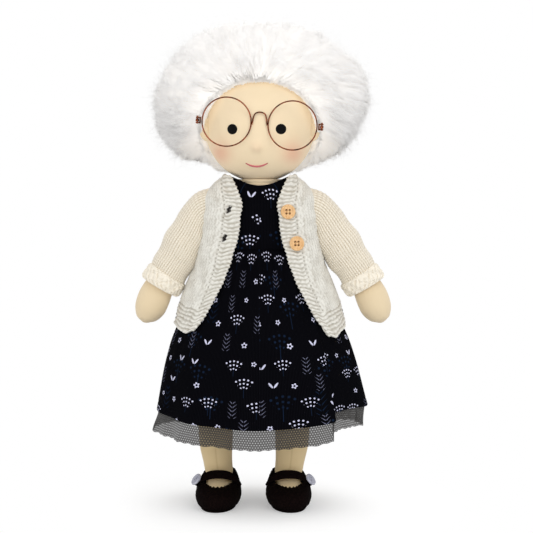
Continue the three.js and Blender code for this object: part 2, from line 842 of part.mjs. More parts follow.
const bodiceOut = clothGap + bodiceThickness;
const bodiceWaist = grown(waistRow, bodiceOut);
const bodiceChest = grown(chestRow, bodiceOut);
const bodiceSlope = grown(slopeRow, bodiceOut);
const bodiceRows = [
  bodiceWaist,
  bodiceChest,
  bodiceSlope,
  grown(topRow, bodiceOut + bodiceOut, bodiceThickness),
  [shoulderZ + 0.82 * collarRise, neckRadius + neckPlay + neckPlay, neckRadius + neckPlay],
];

// Round holes through both sides of a garment, from a distance out from the doll's middle.
function armholes(radius, start) {
  const hole = new THREE.CylinderGeometry(radius, radius, 2 * torsoWidth, 24).rotateZ(Math.PI / 2);
  return sides.map(({ sign }) => hole.clone().translate(sign * (start + torsoWidth), 0, shoulderZ));
}

const bareArmholes = () => armholes(armRadius + clothGap, 0.78 * halfWidth);

function bodice() {
  const top = bodiceRows[bodiceRows.length - 1][0];
  const heights = [...bodiceRows.map((row) => row[0]), lerp(waistZ, shoulderZ, 0.5)].sort((a, b) => a - b);
  const rings = (inset) =>
    heights.map((z) =>
      ring(24, (angle) => {
        const dip = z === top ? 1.5 * neckPlay * Math.cos(angle) ** 2 * (Math.cos(angle) > 0 ? 1 : 0) : 0;
        return ovalPoint(shrunk(sectionAt(bodiceRows, z), inset), angle, z - 0.25 * dip);
      }),
    );
  return cut(wall(rings(0), rings(bodiceThickness)), ...bareArmholes());
}

// The skirt's surface, by its angle and its share of the way from the waist to the hem.
function skirtPoint(angle, share, inset) {
  const waist = sectionAt(bodiceRows, waistZ);
  const bell = share <= 1 ? share ** skirtBell : 1 + 0.2 * (share - 1);
  const width = lerp(waist[0], hemWidth / 2, bell);
  const depth = lerp(waist[1], hemDepth / 2, bell);
  const fold = 1 + foldDepth * Math.min(share, 1) ** 2 * foldAt(angle);
  return ovalPoint([width * fold - inset, depth * fold - inset], angle, waistZ - share * skirtLength);
}

// Folds of two lengths mixed, so that no two are quite alike.
function foldAt(angle) {
  return 0.7 * Math.cos(foldCount * angle + 0.5) + 0.3 * Math.cos((foldCount + 3) * angle + 2);
}

function skirt() {
  const shares = [seamGap / skirtLength, 0.06, 0.15, 0.34, 0.66, 1];
  const rings = (inset) =>
    shares.map((share) => ring(40, (angle) => skirtPoint(angle, share, inset)));
  return wall(rings(0), rings(skirtThickness));
}

function petticoat() {
  const top = netDrop / skirtLength;
  const bottom = 1 + netShow / skirtLength;
  const start = skirtThickness + clothGap;
  const shares = [top, 0.15, 0.34, 0.66, 1, bottom];
  const rings = (inset) =>
    shares.map((share) => ring(40, (angle) => skirtPoint(angle, share, inset)));
  return wall(rings(start), rings(start + netThickness));
}

place("dress_bodice", bodice(), dressCloth());
place("dress_skirt", skirt(), dressCloth());
place("petticoat", petticoat(), netCloth());

// Cardigan: a back and two fronts that hang open, cut out for the sleeves

const knitOut = clothGap + knitThickness;
const [slopeZ, slopeHalfWidth, slopeHalfDepth] = bodiceSlope;
const yokeRows = [
  grown(bodiceWaist, knitOut),
  grown(bodiceChest, knitOut),
  grown(bodiceSlope, knitOut),
  [lerp(slopeZ, collarZ, 0.4), slopeHalfWidth, slopeHalfDepth + knitOut],
  [lerp(slopeZ, collarZ, 0.75), lerp(collarHalfWidth, slopeHalfWidth, 0.5), slopeHalfDepth],
  [collarZ, collarHalfWidth, collarHalfDepth],
];

// The cardigan's outer half sizes at a height: over the yoke, then over the skirt.
function cardiganSection(z) {
  if (z >= waistZ) return sectionAt(yokeRows, z);
  const share = (waistZ - z) / skirtLength;
  const out = lerp(knitOut, cardiganGap + knitThickness, Math.min(1, 4 * share));
  const side = skirtPoint(Math.PI / 2, share, 0);
  const front = skirtPoint(0, share, 0);
  return [side.x + out, -front.y + out];
}

// Half the distance between the two front edges, by how far below the collar.
function openingHalf(down) {
  if (down < closeDrop) return closeHalf + (collarHalf - closeHalf) * (1 - down / closeDrop) ** 1.5;
  const share = (down - closeDrop) / (frontLength - closeDrop);
  return closeHalf + (hemHalf - closeHalf) * share ** 2;
}

// The sleeve's top edge sits in a shallow seat round the hole for the arm.
const sleeveSeats = () => armholes(sleeveRadius + armholeGap, onArm(sleeveStart).x - clothGap);

const sideSeam = Math.PI / 2;
const seamTurn = seamGap / torsoWidth;

function frontPoint(across, downShare, inset) {
  const down = downShare * lerp(frontLength, backLength, across ** 0.7);
  const z = collarZ - down;
  const section = cardiganSection(z);
  const edge = Math.asin(Math.min(0.97, openingHalf(down) / section[0]));
  return ovalPoint(shrunk(section, inset), lerp(edge, sideSeam - seamTurn, across), z);
}

const yokeShares = [0, 0.05, 0.09, 0.14, 0.22, 0.33, 0.45, 0.53, 0.6, 0.68, 0.78, 0.89, 1];

function cardiganFront(sign) {
  const rows = (inset) =>
    yokeShares.map((down) => steps(6, (across) => frontPoint(across, down, inset)));
  const front = cut(panel(rows(0), rows(knitThickness)), ...bareArmholes(), ...sleeveSeats());
  return sided(front, sign);
}

function cardiganBack() {
  const rows = (inset) =>
    yokeShares.map((share) =>
      steps(13, (across) => {
        const z = collarZ - share * backLength;
        const angle = lerp(sideSeam + seamTurn, 2 * Math.PI - sideSeam - seamTurn, across);
        return ovalPoint(shrunk(cardiganSection(z), inset), angle, z);
      }),
    );
  return cut(panel(rows(0), rows(knitThickness)), ...bareArmholes(), ...sleeveSeats());
}

// Where a button rests on the front, also across a hollow, and the direction square to the cloth.
function buttonSeat(row) {
  const down = buttonRows[row];
  const z = collarZ - down;
  const section = cardiganSection(z);
  const angle = Math.asin((openingHalf(down) + buttonInset[row]) / section[0]);
  const reach = (buttonBack * buttonDiameter) / 2;
  const below = cardiganSection(z - reach);
  const above = cardiganSection(z + reach);
  const lean = (above[1] - below[1]) / (2 * reach);
  const normal = new THREE.Vector3(
    Math.sin(angle) / section[0],
    -Math.cos(angle) / section[1],
    (-lean * Math.cos(angle)) / section[1],
  ).normalize();
  const point = ovalPoint(section, angle, z);
  const chord = ovalPoint(above, angle, z + reach);
  chord.lerp(ovalPoint(below, angle, z - reach), 0.5);
  const hollow = Math.max(0, chord.sub(point).dot(normal));
  return { point: point.addScaledVector(normal, hollow), normal };
}

function cardiganButton(row) {
  const radius = buttonDiameter / 2;
  const disc = turned([
    [0, 0],
    [buttonBack * radius, 0],
    [radius, 0.45 * buttonThickness],
    [0.93 * radius, buttonThickness],
    [0.76 * radius, 0.92 * buttonThickness],
    [0.7 * radius, 0.66 * buttonThickness],
    [0, 0.66 * buttonThickness],
  ], 18);
  const holeRadius = 0.11 * radius;
  const holes = ring(4, (angle) => {
    const hole = new THREE.CylinderGeometry(holeRadius, holeRadius, 3 * buttonThickness, 6);
    const spot = new THREE.Vector2(0.28 * radius, 0).rotateAround(new THREE.Vector2(), angle + Math.PI / 4);
    return hole.rotateX(Math.PI / 2).translate(spot.x, spot.y, 0);
  });
  const shape = cut(disc, ...holes);
  const { point, normal } = buttonSeat(row);
  shape.applyQuaternion(new THREE.Quaternion().setFromUnitVectors(new THREE.Vector3(0, 0, 1), normal));
  point.addScaledVector(normal, seamGap);
  return shape.translate(point.x, point.y, point.z);
}

// The buttonholes are slanted slots in the doll's right front, one across from each button.
function buttonholes() {
  return buttonRows.map((_, row) => {
    const slot = ellipsoid(holeWidth / 2, 4 * knitThickness, holeHeight / 2, 8, 6);
    const { point } = buttonSeat(row);
    return slot.rotateY(radians(-holeSlant)).translate(-point.x, point.y, point.z);
  });
}

place("cardigan_back", cardiganBack(), knit());
place("cardigan_front_left", cardiganFront(LEFT), knit());
place("cardigan_front_right", cut(cardiganFront(RIGHT), ...buttonholes()), knit());
place("cardigan_button_upper", cardiganButton(0), wood());
place("cardigan_button_lower", cardiganButton(1), wood());

export default doll;
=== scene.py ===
"""The dressed cloth doll: stuffed, sewn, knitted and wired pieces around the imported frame.

Metres, +Z up. The doll faces -Y and its left side is +X.
"""

from __future__ import annotations

import logging
import math
from dataclasses import dataclass, field
from enum import Enum
from typing import Any, Sequence

import bpy
import numpy as np
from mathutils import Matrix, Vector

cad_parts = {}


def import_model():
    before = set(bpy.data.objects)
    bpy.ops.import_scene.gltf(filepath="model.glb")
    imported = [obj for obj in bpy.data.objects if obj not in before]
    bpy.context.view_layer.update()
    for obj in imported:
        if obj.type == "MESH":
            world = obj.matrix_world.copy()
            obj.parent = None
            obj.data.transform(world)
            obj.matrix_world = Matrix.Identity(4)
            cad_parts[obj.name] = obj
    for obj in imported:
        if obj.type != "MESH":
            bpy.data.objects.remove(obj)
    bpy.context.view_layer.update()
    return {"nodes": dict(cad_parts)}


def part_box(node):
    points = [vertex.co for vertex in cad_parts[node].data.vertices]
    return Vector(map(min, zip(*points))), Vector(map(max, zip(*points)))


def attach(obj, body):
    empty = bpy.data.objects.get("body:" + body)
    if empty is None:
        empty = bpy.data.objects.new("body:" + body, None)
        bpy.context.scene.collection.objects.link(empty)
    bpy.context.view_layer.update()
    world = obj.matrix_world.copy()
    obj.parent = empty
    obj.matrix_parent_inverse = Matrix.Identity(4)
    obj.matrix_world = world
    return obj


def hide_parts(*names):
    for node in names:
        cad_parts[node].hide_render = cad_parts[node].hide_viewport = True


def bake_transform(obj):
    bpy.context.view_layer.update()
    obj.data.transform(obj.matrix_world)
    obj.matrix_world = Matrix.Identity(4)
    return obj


LOG = logging.getLogger("cloth_doll")
SEED = 7
TURN = 2.0 * math.pi
CLOTH_MAP = "cloth"
HEAD_MIDDLE = 0.3135
SHOULDER = 0.243

Array = np.ndarray
Colour = tuple[int, int, int]
Point = tuple[float, float, float]
Piece = bpy.types.Object
Material = bpy.types.Material
Socket = bpy.types.NodeSocket
Tree = bpy.types.NodeTree


class Side(Enum):
    """The doll's own right and left, as the sign of X."""

    RIGHT = -1
    LEFT = 1

    @property
    def word(self) -> str:
        """The side's word in the names of pieces."""
        return self.name.lower()


class Stitch(Enum):
    """Knitting stitches that the cardigan is made of."""

    STOCKING = "stocking"
    GARTER = "garter"
    MOSS = "moss"


# Numbers and vectors


def smooth(low: float, high: float, value: Array) -> Array:
    """Smoothstep: 0 below low, 1 above high, 3t^2 - 2t^3 between."""
    share = np.clip((value - low) / (high - low), 0.0, 1.0)
    return share * share * (3.0 - 2.0 * share)


def lerp(first: Any, second: Any, share: Any) -> Any:
    """Straight mix of two values by a share."""
    return first + (second - first) * share


def bell(value: Array, width: float) -> Array:
    """Bell curve: exp(-(value / width)^2)."""
    return np.exp(-((value / width) ** 2))


def bent(value: Array, power: Any) -> Array:
    """A value's size to a power, with its sign kept."""
    return np.sign(value) * np.abs(value) ** power


def cloth_map(across: Array, down: Array) -> Array:
    """Cloth coordinates of a grid from those of its columns and rows."""
    return np.stack(np.meshgrid(across, down), axis=-1)


def unit(vectors: Array) -> Array:
    """Vectors of length 1 along the last axis."""
    return vectors / np.maximum(np.linalg.norm(vectors, axis=-1, keepdims=True), 1e-12)


def vectors(*parts: Any) -> Array:
    """Points from X, Y and Z arrays that are spread to one shape."""
    return np.stack(np.broadcast_arrays(*[np.asarray(part, float) for part in parts]), axis=-1)


def around(count: int) -> Array:
    """Angles once round, without the repeated last one."""
    return np.linspace(0.0, TURN, count, endpoint=False)


def spline(rows: Sequence[Sequence[float]], at: Array) -> Array:
    """Catmull-Rom curve: a cubic through every row, with slopes from the rows on both sides.

    Args:
        rows: the values that the curve passes through.
        at: row numbers, which may lie between two rows.

    Returns:
        One line of values for each number in at.
    """
    table = np.asarray(rows, float)
    last = len(table) - 1
    first = np.clip(np.floor(at).astype(int), 0, last - 1)
    t = (at - first)[:, None]
    a, b = table[np.maximum(first - 1, 0)], table[first]
    c, d = table[first + 1], table[np.minimum(first + 2, last)]
    return 0.5 * (
        2 * b + (c - a) * t + (2 * a - 5 * b + 4 * c - d) * t**2 + (3 * b - a - 3 * c + d) * t**3
    )


def lengths(points: Array, axis: int) -> Array:
    """Running length along one axis of a grid of points, from 0."""
    step = np.linalg.norm(np.diff(points, axis=axis), axis=-1)
    start = np.zeros_like(np.take(step, [0], axis=axis))
    return np.concatenate([start, np.cumsum(step, axis=axis)], axis=axis)


def grid_normals(points: Array, ring: bool) -> Array:
    """Unit normals of a grid: cross product of the steps along rows and along columns."""
    down = np.gradient(points, axis=0)
    if ring:
        side = (np.roll(points, -1, axis=1) - np.roll(points, 1, axis=1)) / 2.0
    else:
        side = np.gradient(points, axis=1)
    return unit(np.cross(side, down))


def linear(colour: Colour) -> tuple[float, float, float, float]:
    """A screen colour of 0 to 255 as the linear RGBA that shaders take."""
    share = np.asarray(colour, float) / 255.0
    value = np.where(share <= 0.04045, share / 12.92, ((share + 0.055) / 1.055) ** 2.4)
    return (*value.tolist(), 1.0)


# Meshes


@dataclass
class Patch:
    """A grid of points that becomes faces.

    ring joins the last column to the first and loop the last row to the first. ends closes the
    first and the last row with a fan to its middle. inside is a point behind the surface.
    """

    points: Array
    ring: bool = False
    loop: bool = False
    ends: tuple[bool, bool] = (False, False)
    uv: Array | None = None
    marks: dict[str, Array] = field(default_factory=dict)
    keep: Array | None = None
    inside: Point | None = None

    def cloth(self) -> Array:
        """Cloth coordinates of every corner: given ones, or shares along the two sides."""
        rows, cols = self.points.shape[:2]
        if self.uv is not None:
            return self.uv
        across = np.linspace(0.0, 1.0, cols + self.ring)
        down = np.linspace(0.0, 1.0, rows + self.loop)
        return cloth_map(across, down)

    def quads(self) -> tuple[Array, Array]:
        """Corner numbers and corner cloth coordinates of the four-sided faces."""
        rows, cols = self.points.shape[:2]
        row = np.arange(rows if self.loop else rows - 1)
        col = np.arange(cols if self.ring else cols - 1)
        r, c = np.meshgrid(row, col, indexing="ij")
        corners = [(r, c), (r, c + 1), (r + 1, c + 1), (r + 1, c)]
        index = np.stack([(a % rows) * cols + b % cols for a, b in corners], axis=-1)
        cloth = self.cloth()
        uv = np.stack([cloth[a, b] for a, b in corners], axis=-2)
        chosen = np.ones(r.shape, bool) if self.keep is None else self.keep
        return index[chosen], uv[chosen]

    def fans(self) -> tuple[Array, Array, Array]:
        """Middle points, and the three-sided faces from them to the first and last rows."""
        rows, cols = self.points.shape[:2]
        cloth = self.cloth()
        col = np.arange(cols)
        middles, faces, uvs = [], [], []
        for place, row in enumerate((0, rows - 1)):
            if not self.ends[place]:
                continue
            middle = np.full(cols, rows * cols + len(middles))
            edge = (row * cols + (col + 1) % cols, row * cols + col)
            faces.append(np.stack([middle, *(edge if place == 0 else edge[::-1])], axis=-1))
            edge_uv = (cloth[row, col + 1], cloth[row, col])
            spot = np.broadcast_to(cloth[row].mean(axis=0), (cols, 2))
            uvs.append(np.stack([spot, *(edge_uv if place == 0 else edge_uv[::-1])], axis=-2))
            middles.append(self.points[row].mean(axis=0))
        if not middles:
            return np.zeros((0, 3)), np.zeros((0, 3), int), np.zeros((0, 3, 2))
        return np.array(middles), np.concatenate(faces), np.concatenate(uvs)

    def outward(self) -> tuple[Array, Array, Array, Array, Array]:
        """Points and faces, turned round where the signed volume about inside is negative."""
        quads, quad_uv = self.quads()
        middles, tris, tri_uv = self.fans()
        points = np.concatenate([self.points.reshape(-1, 3), middles])
        centre = points.mean(axis=0) if self.inside is None else np.array(self.inside)
        corners = points[np.concatenate([quads[:, :3], quads[:, [0, 2, 3]], tris])] - centre
        volume = np.einsum("ij,ij->", corners[:, 0], np.cross(corners[:, 1], corners[:, 2]))
        if volume < 0.0:
            quads, quad_uv = quads[:, ::-1], quad_uv[:, ::-1]
            tris, tri_uv = tris[:, ::-1], tri_uv[:, ::-1]
        return points, quads, quad_uv, tris, tri_uv


def fill_mesh(
    name: str,
    points: Array,
    quads: Array,
    quad_uv: Array,
    tris: Array,
    tri_uv: Array,
    marks: dict[str, Array],
    finish: Material,
) -> Piece:
    """Puts whole arrays into a new mesh and links its object into the scene.

    Args:
        name: the piece's name.
        points: every vertex.
        quads, tris: corner numbers of the faces.
        quad_uv, tri_uv: cloth coordinates of the faces' corners.
        marks: one value per vertex under each name, read by the finish.
        finish: the material.

    Returns:
        The new object, at the origin.
    """
    mesh = bpy.data.meshes.new(name)
    corners = np.concatenate([quads.ravel(), tris.ravel()]).astype(np.int32)
    starts = np.concatenate([np.arange(len(quads)) * 4, quads.size + np.arange(len(tris)) * 3])
    mesh.vertices.add(len(points))
    mesh.vertices.foreach_set("co", points.astype(np.float32).ravel())
    mesh.loops.add(len(corners))
    mesh.loops.foreach_set("vertex_index", corners)
    mesh.polygons.add(len(starts))
    mesh.polygons.foreach_set("loop_start", starts.astype(np.int32))
    layer = mesh.uv_layers.new(name=CLOTH_MAP)
    layer.data.foreach_set("uv", np.concatenate([quad_uv.ravel(), tri_uv.ravel()]).astype(np.float32))
    for mark, values in marks.items():
        attribute = mesh.attributes.new(mark, "FLOAT", "POINT")
        attribute.data.foreach_set("value", values.astype(np.float32).ravel())
    mesh.update(calc_edges=True)
    mesh.validate()
    mesh.shade_smooth()
    mesh.materials.append(finish)
    piece = bpy.data.objects.new(name, mesh)
    bpy.context.scene.collection.objects.link(piece)
    return piece


def make_piece(name: str, patches: Sequence[Patch], finish: Material) -> Piece:
    """Joins patches into one object, each with its faces outwards.

    Args:
        name: the piece's name.
        patches: the grids it is made of.
        finish: the material.

    Returns:
        The new object.
    """
    names = {mark for patch in patches for mark in patch.marks}
    points, quads, quad_uv, tris, tri_uv = [], [], [], [], []
    marks: dict[str, list[Array]] = {mark: [] for mark in names}
    start = 0
    for patch in patches:
        p, q, qu, t, tu = patch.outward()
        points.append(p)
        quads.append(q + start)
        quad_uv.append(qu.reshape(-1, 2))
        tris.append(t + start)
        tri_uv.append(tu.reshape(-1, 2))
        for mark in names:
            values = patch.marks.get(mark, np.zeros(patch.points.shape[:2])).ravel()
            spare = np.full(len(p) - len(values), values[-1])
            marks[mark].append(np.concatenate([values, spare]))
        start += len(p)
    used = {mark: np.concatenate(values) for mark, values in marks.items()}
    every = [np.concatenate(part) for part in (points, quads, quad_uv, tris, tri_uv)]
    points_all, quads_all, quad_uv_all, tris_all, tri_uv_all = every
    needed = np.zeros(len(points_all), bool)
    needed[quads_all.ravel()] = True
    needed[tris_all.ravel()] = True
    number = np.cumsum(needed) - 1
    return fill_mesh(
        name,
        points_all[needed],
        number[quads_all],
        quad_uv_all,
        number[tris_all],
        tri_uv_all,
        {mark: values[needed] for mark, values in used.items()},
        finish,
    )


def tube(path: Array, radius: Any, up: Point, sides: int = 10, loop: bool = False) -> Patch:
    """A round profile carried along a path: path + radius (cos a * side + sin a * other).

    Args:
        path: points of the middle line.
        radius: one radius, or one for each point.
        up: a direction that the path never takes.
        sides: points round the profile.
        loop: whether the path is closed.

    Returns:
        The patch, with round ends closed where the path is open.
    """
    if loop:
        along = np.roll(path, -1, axis=0) - np.roll(path, 1, axis=0)
    else:
        along = np.gradient(path, axis=0)
    side = unit(np.cross(along, np.asarray(up, float)))
    other = unit(np.cross(side, along))
    angle = around(sides)[None, :, None]
    wide = np.broadcast_to(np.asarray(radius, float), len(path))[:, None, None]
    points = path[:, None] + wide * (np.cos(angle) * side[:, None] + np.sin(angle) * other[:, None])
    length = lengths(path, 0)
    if loop:
        length = np.append(length, length[-1] + np.linalg.norm(path[0] - path[-1]))
    girth = np.linspace(0.0, TURN * float(np.mean(wide)), sides + 1)
    uv = cloth_map(girth, length)
    return Patch(points, ring=True, loop=loop, ends=(not loop, not loop), uv=uv)


def basis(axis: Array) -> tuple[Array, Array]:
    """Two unit vectors square to an axis and to each other."""
    spare = np.array([0.0, 0.0, 1.0]) if abs(axis[2]) < 0.9 else np.array([0.0, 1.0, 0.0])
    first = unit(np.cross(spare, axis))
    return first, np.cross(axis, first)


def turned(profile: Sequence[Sequence[float]], base: Array, axis: Array, sides: int) -> Patch:
    """A body turned about an axis: base + height * axis + radius (cos a, sin a) across it.

    Args:
        profile: radius and height pairs from the back to the front.
        base: point of the axis at height 0.
        axis: the axis' direction.
        sides: points round.

    Returns:
        The closed patch.
    """
    table = np.asarray(profile, float)
    first, second = basis(axis)
    angle = around(sides)[None, :, None]
    radius, height = table[:, 0][:, None, None], table[:, 1][:, None, None]
    points = base + height * axis + radius * (np.cos(angle) * first + np.sin(angle) * second)
    return Patch(points, ring=True, ends=(True, True))


def settle(piece: Piece, nodes: Sequence[str] = (), body: str = "") -> None:
    """Hides the CAD nodes that a piece stands for and sets it on the body that it rides on.

    Args:
        piece: the object.
        nodes: CAD nodes that it replaces.
        body: the body it rides on, or none to leave it free.
    """
    if body:
        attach(piece, body)
    if nodes:
        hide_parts(*nodes)
    LOG.info("%s: %d faces", piece.name, len(piece.data.polygons))


# Finishes


class Shade:
    """A builder of shader nodes in one tree."""

    def __init__(self, tree: Tree) -> None:
        """Keeps the tree."""
        self.tree = tree

    def node(self, kind: str, **settings: Any) -> bpy.types.Node:
        """A new node with its settings."""
        node = self.tree.nodes.new("ShaderNode" + kind)
        for key, value in settings.items():
            setattr(node, key, value)
        return node

    def feed(self, socket: Socket, value: Any) -> None:
        """Links a socket to another, or sets its value."""
        if isinstance(value, Socket):
            self.tree.links.new(value, socket)
        else:
            socket.default_value = value

    def math(self, operation: str, *values: Any, clamp: bool = False) -> Socket:
        """One step of arithmetic."""
        node = self.node("Math", operation=operation, use_clamp=clamp)
        for socket, value in zip(node.inputs, values):
            self.feed(socket, value)
        return node.outputs[0]

    def total(self, operation: str, *values: Any, clamp: bool = False) -> Socket:
        """The same step over a row of values."""
        result = values[0]
        for value in values[1:]:
            result = self.math(operation, result, value, clamp=clamp)
        return result

    def times(self, *values: Any, clamp: bool = False) -> Socket:
        """The product of values."""
        return self.total("MULTIPLY", *values, clamp=clamp)

    def plus(self, *values: Any, clamp: bool = False) -> Socket:
        """The sum of values."""
        return self.total("ADD", *values, clamp=clamp)

    def minus(self, first: Any, second: Any) -> Socket:
        """The first value less the second."""
        return self.math("SUBTRACT", first, second)

    def most(self, *values: Any) -> Socket:
        """The largest of values."""
        return self.total("MAXIMUM", *values)

    def reach(self, *parts: Any) -> Socket:
        """Length of a vector: the root of the sum of its parts' squares."""
        return self.math("SQRT", self.plus(*[self.times(part, part) for part in parts]))

    def mix(self, share: Any, first: Any, second: Any) -> Socket:
        """A colour between two, each a socket, a screen colour or a linear one."""
        node = self.node("Mix", data_type="RGBA")
        self.feed(node.inputs[0], share)
        for number, value in ((6, first), (7, second)):
            screen = isinstance(value, tuple) and len(value) == 3
            self.feed(node.inputs[number], linear(value) if screen else value)
        return node.outputs[2]

    def noise(self, place: Any, scale: Any, detail: float = 2.0) -> Socket:
        """Smooth noise from 0 to 1."""
        node = self.node("TexNoise")
        self.feed(node.inputs["Vector"], place)
        self.feed(node.inputs["Scale"], scale)
        self.feed(node.inputs["Detail"], detail)
        return node.outputs[0]

    def span(self, value: Any, low: float, high: float, start: float, end: float) -> Socket:
        """A value taken from one range to another, and held at its ends."""
        node = self.node("MapRange")
        for socket, number in zip(node.inputs, (value, low, high, start, end)):
            self.feed(socket, number)
        return node.outputs[0]

    def split(self, vector: Any) -> list[Socket]:
        """The three parts of a vector."""
        node = self.node("SeparateXYZ")
        self.feed(node.inputs[0], vector)
        return list(node.outputs)

    def join(self, *parts: Any) -> Socket:
        """A vector of three parts."""
        node = self.node("CombineXYZ")
        for socket, value in zip(node.inputs, parts):
            self.feed(socket, value)
        return node.outputs[0]

    def bump(self, height: Any, depth: float, strength: float = 1.0) -> Socket:
        """Normals raised by a height of 0 to 1."""
        node = self.node("Bump")
        self.feed(node.inputs["Height"], height)
        node.inputs["Distance"].default_value = depth
        node.inputs["Strength"].default_value = strength
        return node.outputs[0]

    def mark(self, name: str) -> Socket:
        """A value kept on the mesh."""
        return self.node("Attribute", attribute_name=name).outputs["Fac"]

    def place(self) -> Socket:
        """The point on the object, in metres."""
        return self.node("TexCoord").outputs["Object"]

    def cloth(self) -> Socket:
        """The cloth's own coordinates, in metres."""
        return self.node("UVMap", uv_map=CLOTH_MAP).outputs[0]

    def group(self, tree: Tree, **inputs: Any) -> bpy.types.Node:
        """A shared effect, with its inputs by name."""
        node = self.node("Group")
        node.node_tree = tree
        for name, value in inputs.items():
            self.feed(node.inputs[name], value)
        return node


def new_group(name: str, inputs: dict[str, str], outputs: Sequence[str]) -> tuple[Shade, dict, dict]:
    """An empty shader node group.

    Args:
        name: the group's name.
        inputs: socket kinds ("Float" or "Vector") by name.
        outputs: names of the outputs, all numbers.

    Returns:
        The builder, the input sockets by name and the output sockets by name.
    """
    tree = bpy.data.node_groups.new(name, "ShaderNodeTree")
    for key, kind in inputs.items():
        tree.interface.new_socket(name=key, in_out="INPUT", socket_type="NodeSocket" + kind)
    for key in outputs:
        tree.interface.new_socket(name=key, in_out="OUTPUT", socket_type="NodeSocketFloat")
    start = tree.nodes.new("NodeGroupInput")
    end = tree.nodes.new("NodeGroupOutput")
    taken = {key: start.outputs[key] for key in inputs}
    given = {key: end.inputs[key] for key in outputs}
    return Shade(tree), taken, given


class Effects:
    """Node groups that several finishes share, each built once."""

    def __init__(self) -> None:
        """Builds the groups."""
        self.fibre = self.build_fibre()
        self.thread = self.build_thread()
        self.motif = self.build_motif()

    @staticmethod
    def build_fibre() -> Tree:
        """Loose fibres: fine noise as a height, and broad noise mixed with it as a tint near 1."""
        shade, taken, given = new_group(
            "loose_fibre", {"Place": "Vector", "Scale": "Float", "Amount": "Float"}, ("Tint", "Height")
        )
        fine = shade.noise(taken["Place"], taken["Scale"], 4.0)
        broad = shade.noise(taken["Place"], shade.times(taken["Scale"], 0.08), 2.0)
        both = shade.plus(shade.times(fine, 0.5), shade.times(broad, 0.5))
        swing = shade.times(shade.minus(both, 0.5), taken["Amount"])
        shade.feed(given["Tint"], shade.plus(swing, 1.0))
        shade.feed(given["Height"], fine)
        return shade.tree

    def fibres(self, shade: Shade, scale: float, amount: float, place: Any = None) -> tuple[Socket, Socket]:
        """Places the loose fibres in a material.

        Args:
            shade: the material's node builder.
            scale: how fine they are.
            amount: how far the tint swings.
            place: coordinates, or none for the object's own.

        Returns:
            The tint and the height.
        """
        at = shade.place() if place is None else place
        node = shade.group(self.fibre, Place=at, Scale=scale, Amount=amount)
        return node.outputs["Tint"], node.outputs["Height"]

    @staticmethod
    def build_thread() -> Tree:
        """Woven or knitted threads: a cosine ridge across and one along, at two pitches."""
        shade, taken, given = new_group(
            "threads", {"Cloth": "Vector", "Across": "Float", "Along": "Float"}, ("Ridge", "Cross")
        )
        u, v, _ = shade.split(taken["Cloth"])
        for value, pitch, name in ((u, "Across", "Ridge"), (v, "Along", "Cross")):
            turn = shade.times(shade.math("DIVIDE", value, taken[pitch]), TURN)
            wave = shade.math("MULTIPLY_ADD", shade.math("COSINE", turn), 0.5, 0.5)
            shade.feed(given[name], wave)
        return shade.tree

    @staticmethod
    def build_motif() -> Tree:
        """Scattered small motifs, one to each cell of a brick grid, by a random number per cell.

        A daisy is a disc whose edge follows the cosine of five times the angle, with a dark eye.
        A leaf pair is two slim ovals that lean apart. A seed head is dots on three arcs over a
        stem. A sprig is a column of thin chevrons.
        """
        shade, taken, given = new_group(
            "scattered_motifs",
            {"Cloth": "Vector", "Cell": "Float", "Shift": "Float"},
            ("Daisy", "Seeds", "Sprig", "Stem"),
        )
        u, v, _ = shade.split(taken["Cloth"])
        y = shade.plus(shade.math("DIVIDE", v, taken["Cell"]), taken["Shift"])
        line = shade.math("FLOOR", y)
        half = shade.times(shade.math("FLOORED_MODULO", line, 2.0), 0.5)
        x = shade.plus(shade.math("DIVIDE", u, taken["Cell"]), half, taken["Shift"])
        column = shade.math("FLOOR", x)
        dice = shade.node("TexWhiteNoise", noise_dimensions="3D")
        shade.feed(dice.inputs["Vector"], shade.join(column, line, taken["Shift"]))
        kind = dice.outputs["Value"]
        red, green, blue = shade.split(dice.outputs["Color"])

        def square(value: Any) -> Any:
            """A value times itself."""
            return shade.times(value, value)

        def local(value: Any, whole: Any, chance: Any, room: float) -> Any:
            """Place in the cell from -0.5 to 0.5, moved by chance."""
            inner = shade.minus(shade.minus(value, whole), 0.5)
            return shade.minus(inner, shade.math("MULTIPLY_ADD", chance, room, -room / 2))

        def chosen(low: float, high: float) -> Any:
            """1 in the cells whose random number is in a range."""
            above = shade.math("GREATER_THAN", kind, low)
            return shade.times(above, shade.math("LESS_THAN", kind, high))

        px = local(x, column, red, 0.24)
        py = shade.times(local(y, line, green, 0.2), -1.0)
        radius = shade.reach(px, py)
        angle = shade.math("ARCTAN2", px, py)

        spin = shade.times(blue, TURN)
        wave = shade.math("COSINE", shade.plus(shade.times(angle, 5.0), spin))
        size = shade.math("MULTIPLY_ADD", green, 0.03, 0.12)
        edge = shade.times(size, shade.math("MULTIPLY_ADD", wave, 0.22, 0.8))
        petal = shade.math("LESS_THAN", radius, edge)
        eye = shade.math("GREATER_THAN", radius, shade.times(size, 0.4))
        daisy = shade.times(petal, eye, chosen(0.0, 0.34))
        side = shade.math("ABSOLUTE", px)
        lifted = shade.plus(py, 0.12)
        along = shade.plus(shade.times(side, 0.574), shade.times(lifted, 0.819))
        off = shade.minus(shade.times(side, 0.819), shade.times(lifted, 0.574))
        long = square(shade.math("DIVIDE", shade.minus(along, 0.19), 0.15))
        oval = shade.plus(long, square(shade.math("DIVIDE", off, 0.045)))
        leaves = shade.times(shade.math("LESS_THAN", oval, 1.0), chosen(0.74, 0.84))
        shade.feed(given["Daisy"], shade.most(daisy, leaves))

